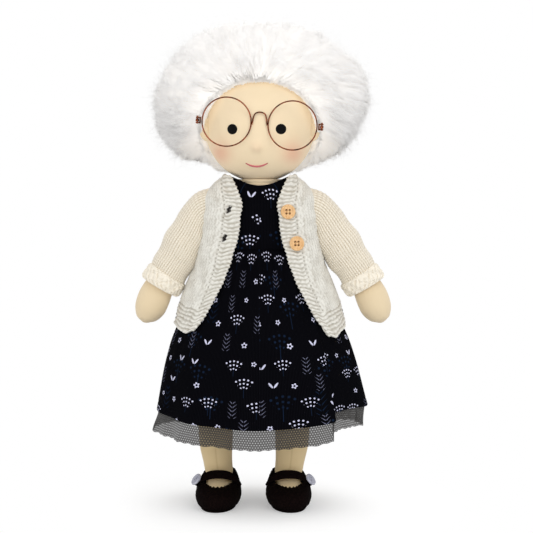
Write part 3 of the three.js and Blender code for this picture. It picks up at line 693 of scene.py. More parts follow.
        heads = chosen(0.34, 0.62)
        high = shade.plus(py, 0.28)
        reach = shade.reach(px, high)
        lean = shade.math("ARCTAN2", px, high)
        dots: Any = 0.0
        for arc, step, dot in ((0.56, 0.32, 0.042), (0.38, 0.42, 0.04), (0.2, 0.66, 0.036)):
            nearest = shade.times(shade.math("ROUND", shade.math("DIVIDE", lean, step)), step)
            swing = shade.times(shade.minus(lean, nearest), arc)
            far = shade.plus(square(swing), square(shade.minus(reach, arc)))
            dots = shade.most(dots, shade.math("LESS_THAN", far, dot * dot))
        upper = shade.math("LESS_THAN", shade.math("ABSOLUTE", lean), 0.76)
        shade.feed(given["Seeds"], shade.times(dots, upper, heads))

        stalk = shade.times(shade.math("LESS_THAN", side, 0.012), shade.math("LESS_THAN", py, 0.0))
        shade.feed(given["Stem"], shade.times(stalk, heads))

        rise = shade.minus(shade.times(py, 5.2), shade.times(side, 5.0))
        stripe = shade.math("ABSOLUTE", shade.minus(shade.math("FRACT", rise), 0.5))
        leaf = shade.math("LESS_THAN", stripe, shade.math("MULTIPLY_ADD", side, -0.75, 0.16))
        inner = shade.math("GREATER_THAN", side, 0.02)
        tall = shade.math("LESS_THAN", shade.math("ABSOLUTE", py), 0.4)
        shade.feed(given["Sprig"], shade.times(leaf, inner, tall, chosen(0.62, 0.74)))
        return shade.tree


def new_material(
    name: str, roughness: float, sheen: float = 0.0, specular: float = 0.5, coat: float = 0.0
) -> tuple[Material, Shade, Any]:
    """A material with one Principled shader and plain values on its own sockets.

    Args:
        name: the material's name.
        roughness: its roughness.
        sheen: strength of the fuzz that fibres give.
        specular: strength of its gloss.
        coat: strength of a clear coat.

    Returns:
        The material, its node builder and the shader's inputs.
    """
    material = bpy.data.materials.new(name)
    material.use_nodes = True
    shader = material.node_tree.nodes["Principled BSDF"]
    values = {
        "Roughness": roughness,
        "Sheen Weight": sheen,
        "Sheen Roughness": 0.5,
        "Specular IOR Level": specular,
        "Coat Weight": coat,
    }
    for key, value in values.items():
        shader.inputs[key].default_value = value
    return material, Shade(material.node_tree), shader.inputs


@dataclass(frozen=True)
class JerseyFinish:
    """Stuffed skin cloth: fine ribs of jersey, blush on the cheeks and a darker sewn line."""

    name: str = "skin_jersey"
    colour: Colour = (246, 225, 190)
    shadow: Colour = (230, 204, 162)
    blush: Colour = (228, 150, 122)
    seam: Colour = (196, 166, 116)
    rib: float = 0.0007

    def build(self, effects: Effects) -> Material:
        """Colour from fibres, painted shade in the rib hollows, random blotches and marks, and the ribs as
        bump.
        """
        material, shade, socket = new_material(self.name, 0.85, 0.25, 0.2)
        ribs = shade.group(effects.thread, Cloth=shade.cloth(), Across=self.rib, Along=self.rib * 1.3)
        tint, fuzz = effects.fibres(shade, 700.0, 0.5)
        height = shade.math("MULTIPLY_ADD", ribs.outputs["Cross"], 0.35, ribs.outputs["Ridge"])
        # Painted shade: the rib hollows take the shadow colour; worn adds random blotches toward the same
        # colour.
        share = shade.times(shade.span(height, 0.0, 0.6, 0.16, 0.0), tint)
        worn = shade.span(shade.noise(shade.place(), 38.0, 3.0), 0.45, 0.75, 0.0, 0.16)
        base = shade.mix(shade.plus(share, worn), self.colour, self.shadow)
        rosy = shade.mix(shade.mark("blush"), base, self.blush)
        shade.feed(socket["Base Color"], shade.mix(shade.mark("seam"), rosy, self.seam))
        rough = shade.math("MULTIPLY_ADD", fuzz, 0.3, height)
        shade.feed(socket["Normal"], shade.bump(rough, 0.00008, 0.7))
        return material


@dataclass(frozen=True)
class ThreadFinish:
    """Stitched thread: strands as fine lines with painted shade between them, and a darker colour where the
    mark says so.
    """

    name: str
    colour: Colour
    dark: Colour
    pitch: float = 0.0005

    def build(self, effects: Effects) -> Material:
        """Colour and bump from the strands."""
        material, shade, socket = new_material(self.name, 0.6, 0.0, 0.12)
        lines = shade.group(effects.thread, Cloth=shade.cloth(), Across=self.pitch, Along=self.pitch * 6)
        tint, _ = effects.fibres(shade, 1500.0, 0.4)
        # Painted shade in the grooves between strands, toward the dark colour.
        gap = shade.span(lines.outputs["Ridge"], 0.0, 0.5, 0.5, 0.0)
        share = shade.most(shade.times(gap, tint), shade.mark("dark"))
        shade.feed(socket["Base Color"], shade.mix(share, self.colour, self.dark))
        shade.feed(socket["Normal"], shade.bump(lines.outputs["Ridge"], 0.00012))
        return material


@dataclass(frozen=True)
class HairFinish:
    """White mohair: a tone for each lock and fine strands.

    It has a painted glow: an emission of its own colour that stands in for light coming through, stronger
    higher up and close to the face.
    """

    name: str = "white_mohair"
    colour: Colour = (253, 252, 251)
    # depth is the darker end of the tone, a painted shade colour: locks take random shares of it, and more of
    # it toward their roots.
    depth: Colour = (231, 229, 227)
    # glow, heights, shares and near set the painted glow: its strength, its rise with height, and its reach
    # by the face.
    glow: float = 0.26
    heights: tuple[float, float] = (0.3, 0.4)
    shares: tuple[float, float] = (0.11, 0.6)
    near: tuple[float, float] = (0.05, 0.067)

    def build(self, effects: Effects) -> Material:
        """Colour from the lock's tone and fibres, a painted glow, and the fibres as bump."""
        material, shade, socket = new_material(self.name, 0.6, 0.3, 0.25)
        tint, fuzz = effects.fibres(shade, 420.0, 0.5)
        tone = shade.times(shade.mark("tone"), tint, clamp=True)
        colour = shade.mix(tone, self.depth, self.colour)
        shade.feed(socket["Base Color"], colour)
        # Painted glow: emission stronger higher up and close to the face, standing in for light that comes
        # through the hair.
        x, y, z = shade.split(shade.place())
        far = shade.reach(x, y, shade.minus(z, HEAD_MIDDLE))
        front = shade.span(y, 0.0, 0.03, 1.0, 0.0)
        painted_glow_by_face = shade.times(shade.span(far, *self.near, 1.0, 0.0), front)
        painted_glow_share = shade.most(shade.span(z, *self.heights, *self.shares), painted_glow_by_face)
        shade.feed(socket["Emission Color"], shade.mix(painted_glow_share, (0, 0, 0), colour))
        socket["Emission Strength"].default_value = self.glow
        shade.feed(socket["Normal"], shade.bump(fuzz, 0.0004, 0.5))
        return material


@dataclass(frozen=True)
class WireFinish:
    """Copper wire: bright metal with faint drawing lines and broad dark spots, partly tarnish and partly
    painted reflection of dark surroundings.
    """

    name: str
    colour: Colour
    tarnish: Colour
    roughness: float

    def build(self, effects: Effects) -> Material:
        """Metal whose colour and gloss change with the tarnish."""
        material, shade, socket = new_material(self.name, self.roughness, 0.0)
        socket["Metallic"].default_value = 1.0
        tint, fuzz = effects.fibres(shade, 900.0, 0.8)
        # The spots are tarnish, set broad and dark so that they also stand in for dark reflections: partly
        # painted reflection.
        spots = shade.span(shade.noise(shade.place(), 150.0, 3.0), 0.42, 0.62, 0.0, 0.9)
        shade.feed(socket["Base Color"], shade.mix(spots, self.colour, self.tarnish))
        gloss = shade.times(tint, self.roughness, clamp=True)
        shade.feed(socket["Roughness"], gloss)
        shade.feed(socket["Normal"], shade.bump(fuzz, 0.00002))
        return material


@dataclass(frozen=True)
class PrintFinish:
    """Near-black cotton with a fine wale and a scattered print of daisies, seed heads and sprigs."""

    name: str = "dress_print"
    colour: Colour = (4, 4, 7)
    # wale is the lighter colour painted on the wale's ridges: a painted highlight.
    wale: Colour = (12, 12, 17)
    white: Colour = (214, 215, 240)
    grey: Colour = (112, 114, 136)
    blue: Colour = (22, 36, 58)
    pitch: float = 0.0011
    cell: float = 0.0176

    def build(self, effects: Effects) -> Material:
        """Ground with a painted highlight on the wale's ridges, a faint blue layer and a white layer over it,
        and the wale as bump.
        """
        material, shade, socket = new_material(self.name, 0.85, 0.0, 0.02)
        cloth = shade.cloth()
        lines = shade.group(effects.thread, Cloth=cloth, Across=self.pitch, Along=self.pitch * 0.6)
        tint, _ = effects.fibres(shade, 900.0, 0.9)
        # Painted highlight: the ridges of the wale take the lighter wale colour.
        light = shade.times(lines.outputs["Ridge"], tint)
        colour = shade.mix(light, self.colour, self.wale)
        layers = (
            (self.blue, self.cell * 1.45, 0.37, ("Seeds", "Stem", "Sprig"), 0.8),
            (self.blue, self.cell, 0.0, ("Stem",), 0.8),
            (self.grey, self.cell, 0.0, ("Sprig",), 0.9),
            (self.white, self.cell, 0.0, ("Daisy", "Seeds"), 0.95),
        )
        for ink, cell, shift, names, strength in layers:
            motif = shade.group(effects.motif, Cloth=cloth, Cell=cell, Shift=shift)
            mask = shade.most(*[motif.outputs[name] for name in names])
            cover = shade.times(tint, strength)
            worn = shade.times(mask, cover, clamp=True)
            colour = shade.mix(worn, colour, ink)
        shade.feed(socket["Base Color"], colour)
        weave = shade.math("MULTIPLY_ADD", lines.outputs["Cross"], 0.4, lines.outputs["Ridge"])
        shade.feed(socket["Normal"], shade.bump(weave, 0.00014))
        return material


@dataclass(frozen=True)
class NetFinish:
    """Grey net: round holes in staggered rows between soft threads."""

    name: str = "petticoat_net"
    colour: Colour = (60, 58, 56)
    dark: Colour = (46, 44, 43)
    across: float = 0.0020
    along: float = 0.0018
    hole: float = 0.22
    blur: float = 0.08
    cover: float = 0.92
    veil: float = 0.46

    def build(self, effects: Effects) -> Material:
        """Alpha from the distance to the nearest hole, and colour from the threads round it."""
        material, shade, socket = new_material(self.name, 0.85, 0.1)
        u, v, _ = shade.split(shade.cloth())
        line = shade.math("DIVIDE", v, self.along)
        shift = shade.times(shade.math("FLOORED_MODULO", shade.math("FLOOR", line), 2.0), 0.5)
        x = shade.minus(shade.math("FRACT", shade.plus(shade.math("DIVIDE", u, self.across), shift)), 0.5)
        y = shade.minus(shade.math("FRACT", line), 0.5)
        far = shade.reach(x, y)
        low, high = self.hole - self.blur, self.hole + self.blur
        shade.feed(socket["Alpha"], shade.span(far, low, high, self.veil, self.cover))
        tint, _ = effects.fibres(shade, 1200.0, 0.6)
        share = shade.times(shade.span(far, self.hole, 0.6, 1.0, 0.0), tint)
        shade.feed(socket["Base Color"], shade.mix(share, self.colour, self.dark))
        shade.feed(socket["Normal"], shade.bump(far, 0.0002))
        return material


@dataclass(frozen=True)
class KnitFinish:
    """Off-white yarn: plies and loose fibres, with painted shade in the hollows between stitches and in
    holes.
    """

    name: str
    colour: Colour
    hollow: Colour
    fleck: float = 0.1

    def build(self, effects: Effects) -> Material:
        """Colour from fibres and painted shade by the stitch's height and holes, with plies as bump."""
        material, shade, socket = new_material(self.name, 0.9, 0.35, 0.15)
        tint, fuzz = effects.fibres(shade, 1100.0, 0.5)
        # Painted shade: low stitches take the hollow colour, and holes a dark brown-grey.
        low = shade.span(shade.mark("height"), 0.05, 0.75, 1.0, 0.0)
        flecks = shade.span(shade.noise(shade.place(), 420.0, 2.0), 0.5, 0.7, 0.0, self.fleck)
        share = shade.plus(shade.times(low, tint), flecks, clamp=True)
        base = shade.mix(share, self.colour, self.hollow)
        dark = shade.mix(shade.mark("hole"), base, (44, 40, 38))
        shade.feed(socket["Base Color"], dark)
        shade.feed(socket["Normal"], shade.bump(fuzz, 0.0002, 0.8))
        return material


@dataclass(frozen=True)
class WoodFinish:
    """Pale turned wood: stretched grain and fine pores under a satin coat."""

    name: str = "button_wood"
    colour: Colour = (244, 202, 148)
    grain: Colour = (222, 170, 110)

    def build(self, effects: Effects) -> Material:
        """Colour from noise stretched along the grain, with painted shade in the sewing holes."""
        material, shade, socket = new_material(self.name, 0.45, coat=0.15)
        stretch = shade.node("Mapping")
        stretch.inputs["Scale"].default_value = (1.0, 1.0, 0.16)
        shade.feed(stretch.inputs["Vector"], shade.place())
        rings = shade.noise(stretch.outputs[0], 900.0, 4.0)
        tint, fuzz = effects.fibres(shade, 2600.0, 0.6, stretch.outputs[0])
        share = shade.times(shade.span(rings, 0.35, 0.7, 0.0, 1.0), tint)
        wood = shade.mix(share, self.colour, self.grain)
        # Painted shade: the sewing holes are only dimples, darkened to look deep.
        shade.feed(socket["Base Color"], shade.mix(shade.mark("hole"), wood, (112, 66, 36)))
        shade.feed(socket["Normal"], shade.bump(fuzz, 0.00006))
        return material


@dataclass(frozen=True)
class FeltFinish:
    """Dark felt: matted fibres over a cloudy colour."""

    name: str = "shoe_felt"
    colour: Colour = (9, 3, 3)
    light: Colour = (24, 12, 10)

    def build(self, effects: Effects) -> Material:
        """Colour and bump from the fibres."""
        material, shade, socket = new_material(self.name, 0.95, 0.0, 0.08)
        tint, fuzz = effects.fibres(shade, 850.0, 1.0)
        share = shade.times(shade.span(fuzz, 0.4, 0.75, 0.0, 1.0), tint)
        shade.feed(socket["Base Color"], shade.mix(share, self.colour, self.light))
        shade.feed(socket["Normal"], shade.bump(fuzz, 0.0005))
        return material


@dataclass(frozen=True)
class ShellFinish:
    """Pale glossy button: a milky cloud with a faint lilac cast."""

    name: str = "shoe_button_shell"
    colour: Colour = (203, 204, 218)
    cloud: Colour = (172, 173, 190)

    def build(self, effects: Effects) -> Material:
        """Colour from soft clouds, with painted shade in the holes."""
        material, shade, socket = new_material(self.name, 0.25, coat=0.3)
        tint, fuzz = effects.fibres(shade, 1400.0, 0.5)
        clouds = shade.span(shade.noise(shade.place(), 320.0, 3.0), 0.4, 0.65, 0.0, 1.0)
        share = shade.times(clouds, tint, clamp=True)
        shell = shade.mix(share, self.colour, self.cloud)
        # Painted shade: the dimpled holes take a dark colour.
        shade.feed(socket["Base Color"], shade.mix(shade.mark("hole"), shell, (96, 96, 108)))
        shade.feed(socket["Roughness"], shade.span(fuzz, 0.3, 0.7, 0.2, 0.34))
        return material


class Finishes:
    """Every material of the doll, built once."""

    def __init__(self) -> None:
        """Builds the shared effects and then the materials."""
        effects = Effects()
        self.skin = JerseyFinish().build(effects)
        # Arms and legs take darker copies of the skin as painted shade; the legs' copy is also yellower, for
        # warm light bounced into their shade.
        self.arm = JerseyFinish("arm_jersey", (234, 214, 179), (216, 192, 151)).build(effects)
        self.leg = JerseyFinish("leg_jersey", (238, 213, 166), (218, 188, 134)).build(effects)
        self.eye = ThreadFinish("eye_thread", (13, 12, 12), (4, 4, 4)).build(effects)
        self.mouth = ThreadFinish("mouth_thread", (214, 120, 126), (176, 82, 84)).build(effects)
        self.hair = HairFinish().build(effects)
        # The mass and fringe take a stronger painted glow, which reaches lower down.
        roots = HairFinish("mohair_roots", (252, 250, 247), (237, 233, 229), 0.29, (0.28, 0.37), (0.5, 0.85))
        self.roots = roots.build(effects)
        self.cap = KnitFinish("wig_cap_net", (250, 244, 234), (236, 226, 210)).build(effects)
        self.wire = WireFinish("copper_wire", (176, 100, 68), (58, 28, 18), 0.16).build(effects)
        self.hinge = WireFinish("dark_hinge", (178, 108, 80), (84, 46, 34), 0.25).build(effects)
        self.dress = PrintFinish().build(effects)
        self.net = NetFinish().build(effects)
        self.sleeve = KnitFinish("knit_sleeve", (245, 237, 221), (194, 177, 147), 0.06).build(effects)
        self.front = KnitFinish("knit_front", (234, 232, 224), (172, 165, 151), 0.26).build(effects)
        self.wood = WoodFinish().build(effects)
        self.button_thread = ThreadFinish("button_thread", (222, 180, 126), (156, 106, 64)).build(effects)
        self.felt = FeltFinish().build(effects)
        self.shell = ShellFinish().build(effects)


# Head


@dataclass
class Head:
    """The stuffed ball of the head with its nose, ears and stitched face."""

    radius: float = 0.045
    nose_drop: float = 0.0167
    nose_rise: float = 0.0033
    nose_spread: float = 0.0042
    blush_place: tuple[float, float] = (0.029, -0.0215)
    blush_spread: float = 0.0085
    cheek_spread: float = 0.013
    socket_spread: float = 0.008
    eye_place: tuple[float, float] = (0.0197, -0.0031)
    eye_half: tuple[float, float] = (0.0049, 0.0044)
    mouth_width: float = 0.0178
    mouth_sag: float = 0.0027
    mouth_drop: float = 0.0299
    mouth_radius: float = 0.00085
    face_shift: float = -0.0024
    ear_half: Point = (0.0066, 0.003, 0.0096)
    ear_lift: float = 0.0032

    def on_ball(self, across: Array, up: Array, lift: float) -> Array:
        """Points in front of the ball, by place across and up: y = -sqrt((R + lift)^2 - x^2 - z^2)."""
        x = across + self.face_shift
        reach = (self.radius + lift) ** 2 - x**2 - up**2
        return vectors(x, -np.sqrt(np.maximum(reach, 0.0)), HEAD_MIDDLE + up)

    def ball(self) -> Patch:
        """A sphere by latitude and longitude, with bell-shaped bumps for the nose and cheeks."""
        rise = np.linspace(-0.49 * math.pi, 0.49 * math.pi, 120)[:, None]
        turn = around(200)[None, :]
        normal = vectors(np.cos(rise) * np.sin(turn), -np.cos(rise) * np.cos(turn), np.sin(rise))
        across = self.radius * normal[..., 0] - self.face_shift
        up = self.radius * normal[..., 2]
        front = smooth(0.0, 0.3, -normal[..., 1])
        nose = np.exp(-(across**2 + (up + self.nose_drop) ** 2) / self.nose_spread**2)
        side, drop = self.blush_place
        cheek = np.exp(-((np.abs(across) - 0.8 * side) ** 2 + (up - drop) ** 2) / self.cheek_spread**2)
        eye_x, eye_z = self.eye_place
        socket = np.exp(-((np.abs(across) - eye_x) ** 2 + (up - eye_z) ** 2) / self.socket_spread**2)
        lift = front * (self.nose_rise * nose + 0.0009 * cheek - 0.0007 * socket)
        points = np.array([0.0, 0.0, HEAD_MIDDLE]) + (self.radius + lift)[..., None] * normal
        spot = ((np.abs(across) - side) ** 2 + (up - drop) ** 2) / self.blush_spread**2
        blush = 0.5 * front * np.exp(-spot) + 0.1 * front * nose
        uv = cloth_map(np.linspace(0.0, TURN, 201), rise.ravel()) * self.radius
        return Patch(points, ring=True, ends=(True, True), uv=uv, marks={"blush": blush})

    def lens_patch(self, centre: Array, half: Sequence[float], dome: float, sink: float) -> Patch:
        """A small dome on the ball: rings of an oval in the tangent plane, pushed out from the
        middle of the head to R + dome * sqrt(1 - r^2) - sink, and closed under the surface."""
        middle = np.array([0.0, 0.0, HEAD_MIDDLE])
        normal = unit(centre - middle)
        side = unit(np.cross([0.0, 0.0, 1.0], normal))
        up = np.cross(normal, side)
        share = np.linspace(0.06, 1.0, 14)[:, None, None]
        angle = around(48)[None, :, None]
        flat = centre + share * (half[0] * np.cos(angle) * side + half[1] * np.sin(angle) * up)
        ray = unit(flat - middle)
        outer = middle + ray * (self.radius + dome * np.sqrt(1.0 - share**2) - sink)
        under = (middle + ray * (self.radius - sink - 0.0008))[::-1]
        points = np.concatenate([outer, under])
        across = np.tile((share * half[0] * np.cos(angle))[..., 0], (2, 1))
        rise = np.tile((share * half[1] * np.sin(angle))[..., 0], (2, 1))
        uv = np.stack([across, rise], axis=-1)
        uv = np.concatenate([uv, uv[:, :1]], axis=1)
        return Patch(points, ring=True, ends=(True, True), uv=uv)

    def mouth(self) -> Patch:
        """A thread along a shallow arc on the ball, thinner and darker at its ends."""
        share = np.linspace(-1.0, 1.0, 60)
        sag = self.mouth_sag * (1.0 - share**2)
        path = self.on_ball(share * self.mouth_width / 2.0, -self.mouth_drop - sag, 0.0002)
        stitches = 0.9 + 0.1 * np.abs(np.cos(share * 3.5 * math.pi))
        radius = self.mouth_radius * (1.0 - 0.55 * np.abs(share) ** 3) * stitches
        patch = tube(path, radius, (0.0, 1.0, 0.2))
        dark = smooth(0.8, 1.0, np.abs(share))
        patch.marks["dark"] = np.repeat(dark[:, None], patch.points.shape[1], axis=1)
        return patch

    def ear(self, side: Side) -> Patch:
        """A flat pad: an oval disc whose two faces bulge as (1 - r^2)^0.6, with a sewn rim."""
        share = np.linspace(0.05, 1.0, 18)[:, None]
        angle = around(56)[None, :]
        low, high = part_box(f"ear_{side.word}")
        forward = (low.y + high.y) / 2.0
        out = math.sqrt(self.radius**2 - forward**2)
        x = side.value * out + self.ear_half[0] * share * np.cos(angle)
        z = (low.z + high.z) / 2.0 + self.ear_lift + self.ear_half[2] * share * np.sin(angle)
        bulge = self.ear_half[1] * (1.0 - share**2) ** 0.6 + 0.0004
        hollow = 0.0012 * bell(share - 0.45, 0.22)
        front = vectors(x, forward - bulge + hollow, z)
        back = vectors(x, forward + bulge, z)[::-1]
        return Patch(np.concatenate([front, back]), ring=True, ends=(True, True))

    def build(self, finishes: Finishes) -> None:
        """Makes the head, eyes, mouth and ears, and sets them on the head's body."""
        ball = make_piece("head_ball", [self.ball()], finishes.skin)
        settle(ball, ["head"], "head")
        mouth = make_piece("mouth_thread", [self.mouth()], finishes.mouth)
        settle(mouth, ["mouth_stitch"], "head")
        for side in Side:
            centre = self.on_ball(side.value * np.array(self.eye_place[0]), np.array(self.eye_place[1]), 0.0)
            patch = self.lens_patch(centre, self.eye_half, 0.0016, 0.0008)
            eye = make_piece(f"stitched_eye_{side.word}", [patch], finishes.eye)
            settle(eye, [f"eye_{side.word}"], "head")
            ear = make_piece(f"ear_pad_{side.word}", [self.ear(side)], finishes.skin)
            settle(ear, [f"ear_{side.word}"], "head")


# Hair


@dataclass
class Hair:
    """A cloud of curly hair round the face: its mass, and locks of fine strands on it."""

    middle: Point = (0.0, 0.010, 0.335)
    half: Point = (0.0865, 0.0535, 0.0635)
    cap_radius: float = 0.0461
    lowest: float = 0.274
    backmost: float = 0.0765
    wall: float = 0.2
    lump: float = 0.042
    locks: int = 2250
    strands: int = 14
    loose: int = 6500
    fringe: int = 1300
    knots: int = 10

    def edges(self, turn: Array) -> tuple[Array, Array]:
        """The edge on the head and the rim in front of it, by the angle from the top of the face.

        The edge is an arch: x = 0.0462 sin a, z = 0.313 + 0.0365 cos a, further back lower down.
        The rim is the same arch brought forward to the cloud's ellipsoid above the ears.
        """
        cos, sin = np.cos(turn), np.sin(turn)
        x = 0.0462 * sin * (1.0 - 0.05 * (1.0 - cos))
        z = 0.313 + 0.0365 * cos
        jaw = bell(np.abs(turn) - 2.25, 0.42)
        head = np.array([0.0, 0.0, HEAD_MIDDLE])
        edge = vectors(x, 0.002 - 0.0295 * cos, z - 0.0085 * jaw)
        edge = head + unit(edge - head) * (self.cap_radius + 0.0002)
        ears = bell(np.abs(turn) - 1.62, 0.4)
        rim_x, rim_z = x * (1.04 + 0.06 * ears), 0.313 + 1.03 * 0.0365 * cos - 0.0085 * jaw
        left = 1.0 - (rim_x / self.half[0]) ** 2 - ((rim_z - self.middle[2]) / self.half[2]) ** 2
        front = self.middle[1] - self.half[1] * np.sqrt(np.clip(left, 0.05, 1.0)) + 0.003
        brow = 0.45 * (1.0 - smooth(0.7, 1.25, np.abs(turn)))
        front = lerp(front, edge[..., 1], brow)
        low = smooth(1.35, 2.2, np.abs(turn))
        rim = vectors(rim_x * (1.0 + 0.12 * low), lerp(front, edge[..., 1] + 0.002, low), rim_z)
        return edge, rim

    def surface(self, turn: Array, share: Array) -> Array:
        """The cloud: from the edge straight to the rim, then round the ellipsoid to its back.

        Past the rim, directions turn evenly from the rim's to +Y, and the radius goes from the
        rim's to the ellipsoid's, with sine-shaped tufts.
        """
        middle = np.array(self.middle)
        edge, rim = self.edges(turn)
        start = unit(rim - middle)
        back = np.array([0.0, 1.0, 0.0])
        part = np.clip((share - self.wall) / (1.0 - self.wall), 0.0, 1.0)[..., None]
        whole = np.arccos(np.clip(start[..., 1:2], -1.0, 1.0))
        ray = (np.sin((1.0 - part) * whole) * start + np.sin(part * whole) * back) / np.sin(whole)
        ray = unit(ray)
        reach = 1.0 / np.sqrt(np.sum((ray / np.array(self.half)) ** 2, axis=-1, keepdims=True))
        rise = np.arcsin(np.clip(ray[..., 2:3], -1.0, 1.0))
        spin = np.arctan2(ray[..., 1:2], ray[..., 0:1])
        tuft = np.sin(7.0 * spin + 1.0) * np.sin(4.0 * rise + 0.6) * np.cos(rise)
        fine = np.sin(13.0 * spin + 5.0 * rise) * np.sin(11.0 * rise - 2.0) * np.cos(rise)
        reach = reach * (1.0 + self.lump * tuft + 0.5 * self.lump * fine)
        grown = smooth(0.0, 0.1, part)
        cloud = middle + ray * lerp(np.linalg.norm(rim - middle, axis=-1, keepdims=True), reach, grown)
        climb = np.clip(share / self.wall, 0.0, 1.0)[..., None]
        points = np.where(share[..., None] < self.wall, lerp(edge, rim, climb), cloud)
        points[..., 2] = np.maximum(points[..., 2], self.lowest)
        return points

    def mass(self) -> Patch:
        """The closed inner mass, a little smaller than the cloud, with a lining on the head."""
        turn = around(200)[None, :] - math.pi
        share = np.linspace(0.0, 0.985, 90)[:, None]
        turns, shares = np.broadcast_arrays(turn, share)
        points = self.surface(turns, shares)
        normal = unit(points - np.array(self.middle))
        points = points - 0.0035 * smooth(0.0, 0.2, shares)[..., None] * normal
        head = np.array([0.0, 0.0, HEAD_MIDDLE])
        lining = head + unit(points[::6] - head) * self.cap_radius
        behind = head + np.array([0.0, self.cap_radius, 0.0])
        lining = lerp(lining, behind, np.linspace(0, 0.96, len(lining))[:, None, None])
        lining = head + unit(lining - head) * self.cap_radius
        every = np.concatenate([lining[::-1], points])
        return Patch(every, ring=True, ends=(True, True), marks={"tone": np.full(every.shape[:2], 0.7)})

    def roots(self, rng: np.random.Generator, count: int, low: float, high: float) -> tuple[Array, Array]:
        """Random places on the cloud, spread by area: cells drawn by their size, then jittered."""
        turn = np.linspace(-math.pi, math.pi, 181)
        share = np.linspace(low, high, 81)
        turns, shares = np.meshgrid(turn, share)
        points = self.surface(turns, shares)
        across = points[:-1, 1:] - points[:-1, :-1]
        along = points[1:, :-1] - points[:-1, :-1]
        area = np.linalg.norm(np.cross(across, along), axis=-1).ravel()
        cell = rng.choice(area.size, size=count, p=area / area.sum())
        row, col = np.divmod(cell, 180)
        jitter = rng.random((2, count))
        return turn[col] + jitter[0] * (turn[1] - turn[0]), share[row] + jitter[1] * (share[1] - share[0])

    def frame_at(self, turn: Array, share: Array) -> tuple[Array, Array, Array, Array]:
        """Points, side steps, back steps and outward normals of the cloud, by small differences."""
        step = 0.004
        points = self.surface(turn, share)
        side = (self.surface(turn + step, share) - points) / step
        back = (self.surface(turn, np.minimum(share + step, 1.0)) - points) / step
        normal = unit(np.cross(side, back))
        outward = np.sum(normal * (points - np.array(self.middle)), axis=-1, keepdims=True)
        return points, side, back, normal * np.where(outward < 0.0, -1.0, 1.0)

    def strand_lines(
        self,
        rng: np.random.Generator,
        count: int,
        per_lock: int,
        length: tuple[float, float],
        lift: tuple[float, float],
        spread: float,
        zone: tuple[float, float] = (0.07, 0.93),
    ) -> tuple[Array, Array, Array]:
        """Middle lines of strands that run back over the cloud in waves and lift to their tips.

        Each lock starts at a random root and follows the cloud's surface. Its strands start
        spread apart, draw together to the tip, and swing aside by a sine of the way along.

        Args:
            rng: source of the random numbers.
            count: locks.
            per_lock: strands in each lock.
            length: shortest and longest lock.
            lift: least and most rise of a tip over the surface.
            spread: radius of a lock at its root.
            zone: shares of the cloud between which the roots lie.

        Returns:
            Lines (strand, point, xyz), normals of the same shape, and the tone of each strand.
        """
        turn, share = self.roots(rng, count, *zone)
        size = rng.uniform(*length, count)
        along = np.linspace(0.0, 1.0, self.knots)
        _, _, back, _ = self.frame_at(turn, share)
        pace = size / np.maximum(np.linalg.norm(back, axis=-1), 0.03)
        drift = rng.normal(0.0, 0.12, count)
        shares = np.clip(share[:, None] + pace[:, None] * along, 0.0, 0.985)
        turns = turn[:, None] + drift[:, None] * along
        points, side, _, normal = self.frame_at(turns, shares)
        side = unit(side)
        every = count * per_lock
        points, side, normal = (np.repeat(part, per_lock, axis=0) for part in (points, side, normal))
        phase = np.repeat(rng.uniform(0.0, TURN, count), per_lock) + rng.normal(0.0, 0.5, every)
        waves = np.repeat(rng.uniform(0.9, 2.7, count), per_lock)
        swing = np.repeat(rng.uniform(0.0012, 0.0040, count), per_lock)
        rise = np.repeat(rng.uniform(*lift, count), per_lock) * rng.uniform(0.6, 1.25, every)
        angle = rng.uniform(0.0, TURN, every)
        far = spread * np.sqrt(rng.random(every))
        gather = 1.0 - 0.45 * along[None]
        curl = TURN * waves[:, None] * along[None] + phase[:, None]
        aside = (far * np.cos(angle))[:, None] * gather + swing[:, None] * np.sin(curl) * (0.3 + along)
        above = (far * np.sin(angle))[:, None] * gather * 0.7 + rise[:, None] * along**1.6
        above = above + 0.7 * swing[:, None] * np.cos(curl) * (0.3 + along) - 0.0008
        lines = points + aside[..., None] * side + above[..., None] * normal
        lines[..., 1] = np.minimum(lines[..., 1], self.backmost)
        lines[..., 2] = np.maximum(lines[..., 2], self.lowest - 0.003)
        tone = np.repeat(rng.normal(0.66, 0.2, count), per_lock) + rng.normal(0.0, 0.14, every)
        tone = np.clip(tone, 0.05, 1.0)
        return lines, normal, tone

    def ribbons(self, name: str, parts: Sequence[Array], width: float, finish: Material) -> Piece:
        """Flat ribbons along strand lines, tapering to the tip, shaded by the cloud's normals.

        Args:
            name: the piece's name.
            parts: lines, normals and tones from strand_lines.
            width: width at the root.
            finish: the material.

        Returns:
            The new object.
        """
        lines, normal, tone = parts
        count, knots = lines.shape[:2]
        along = np.gradient(lines, axis=1)
        flat = unit(np.cross(along, normal))
        half = 0.5 * width * np.sqrt(1.0 - 0.93 * np.linspace(0.0, 1.0, knots))[None, :, None]
        pair = np.stack([lines - half * flat, lines + half * flat], axis=2)
        number = np.arange(count * knots * 2).reshape(count, knots, 2)
        left, right = number[..., 0], number[..., 1]
        quads = np.stack([left[:, :-1], right[:, :-1], right[:, 1:], left[:, 1:]], axis=-1).reshape(-1, 4)
        corner = np.tile(np.array([[0.0, 0.0], [1.0, 0.0], [1.0, 1.0], [0.0, 1.0]]), (len(quads), 1))
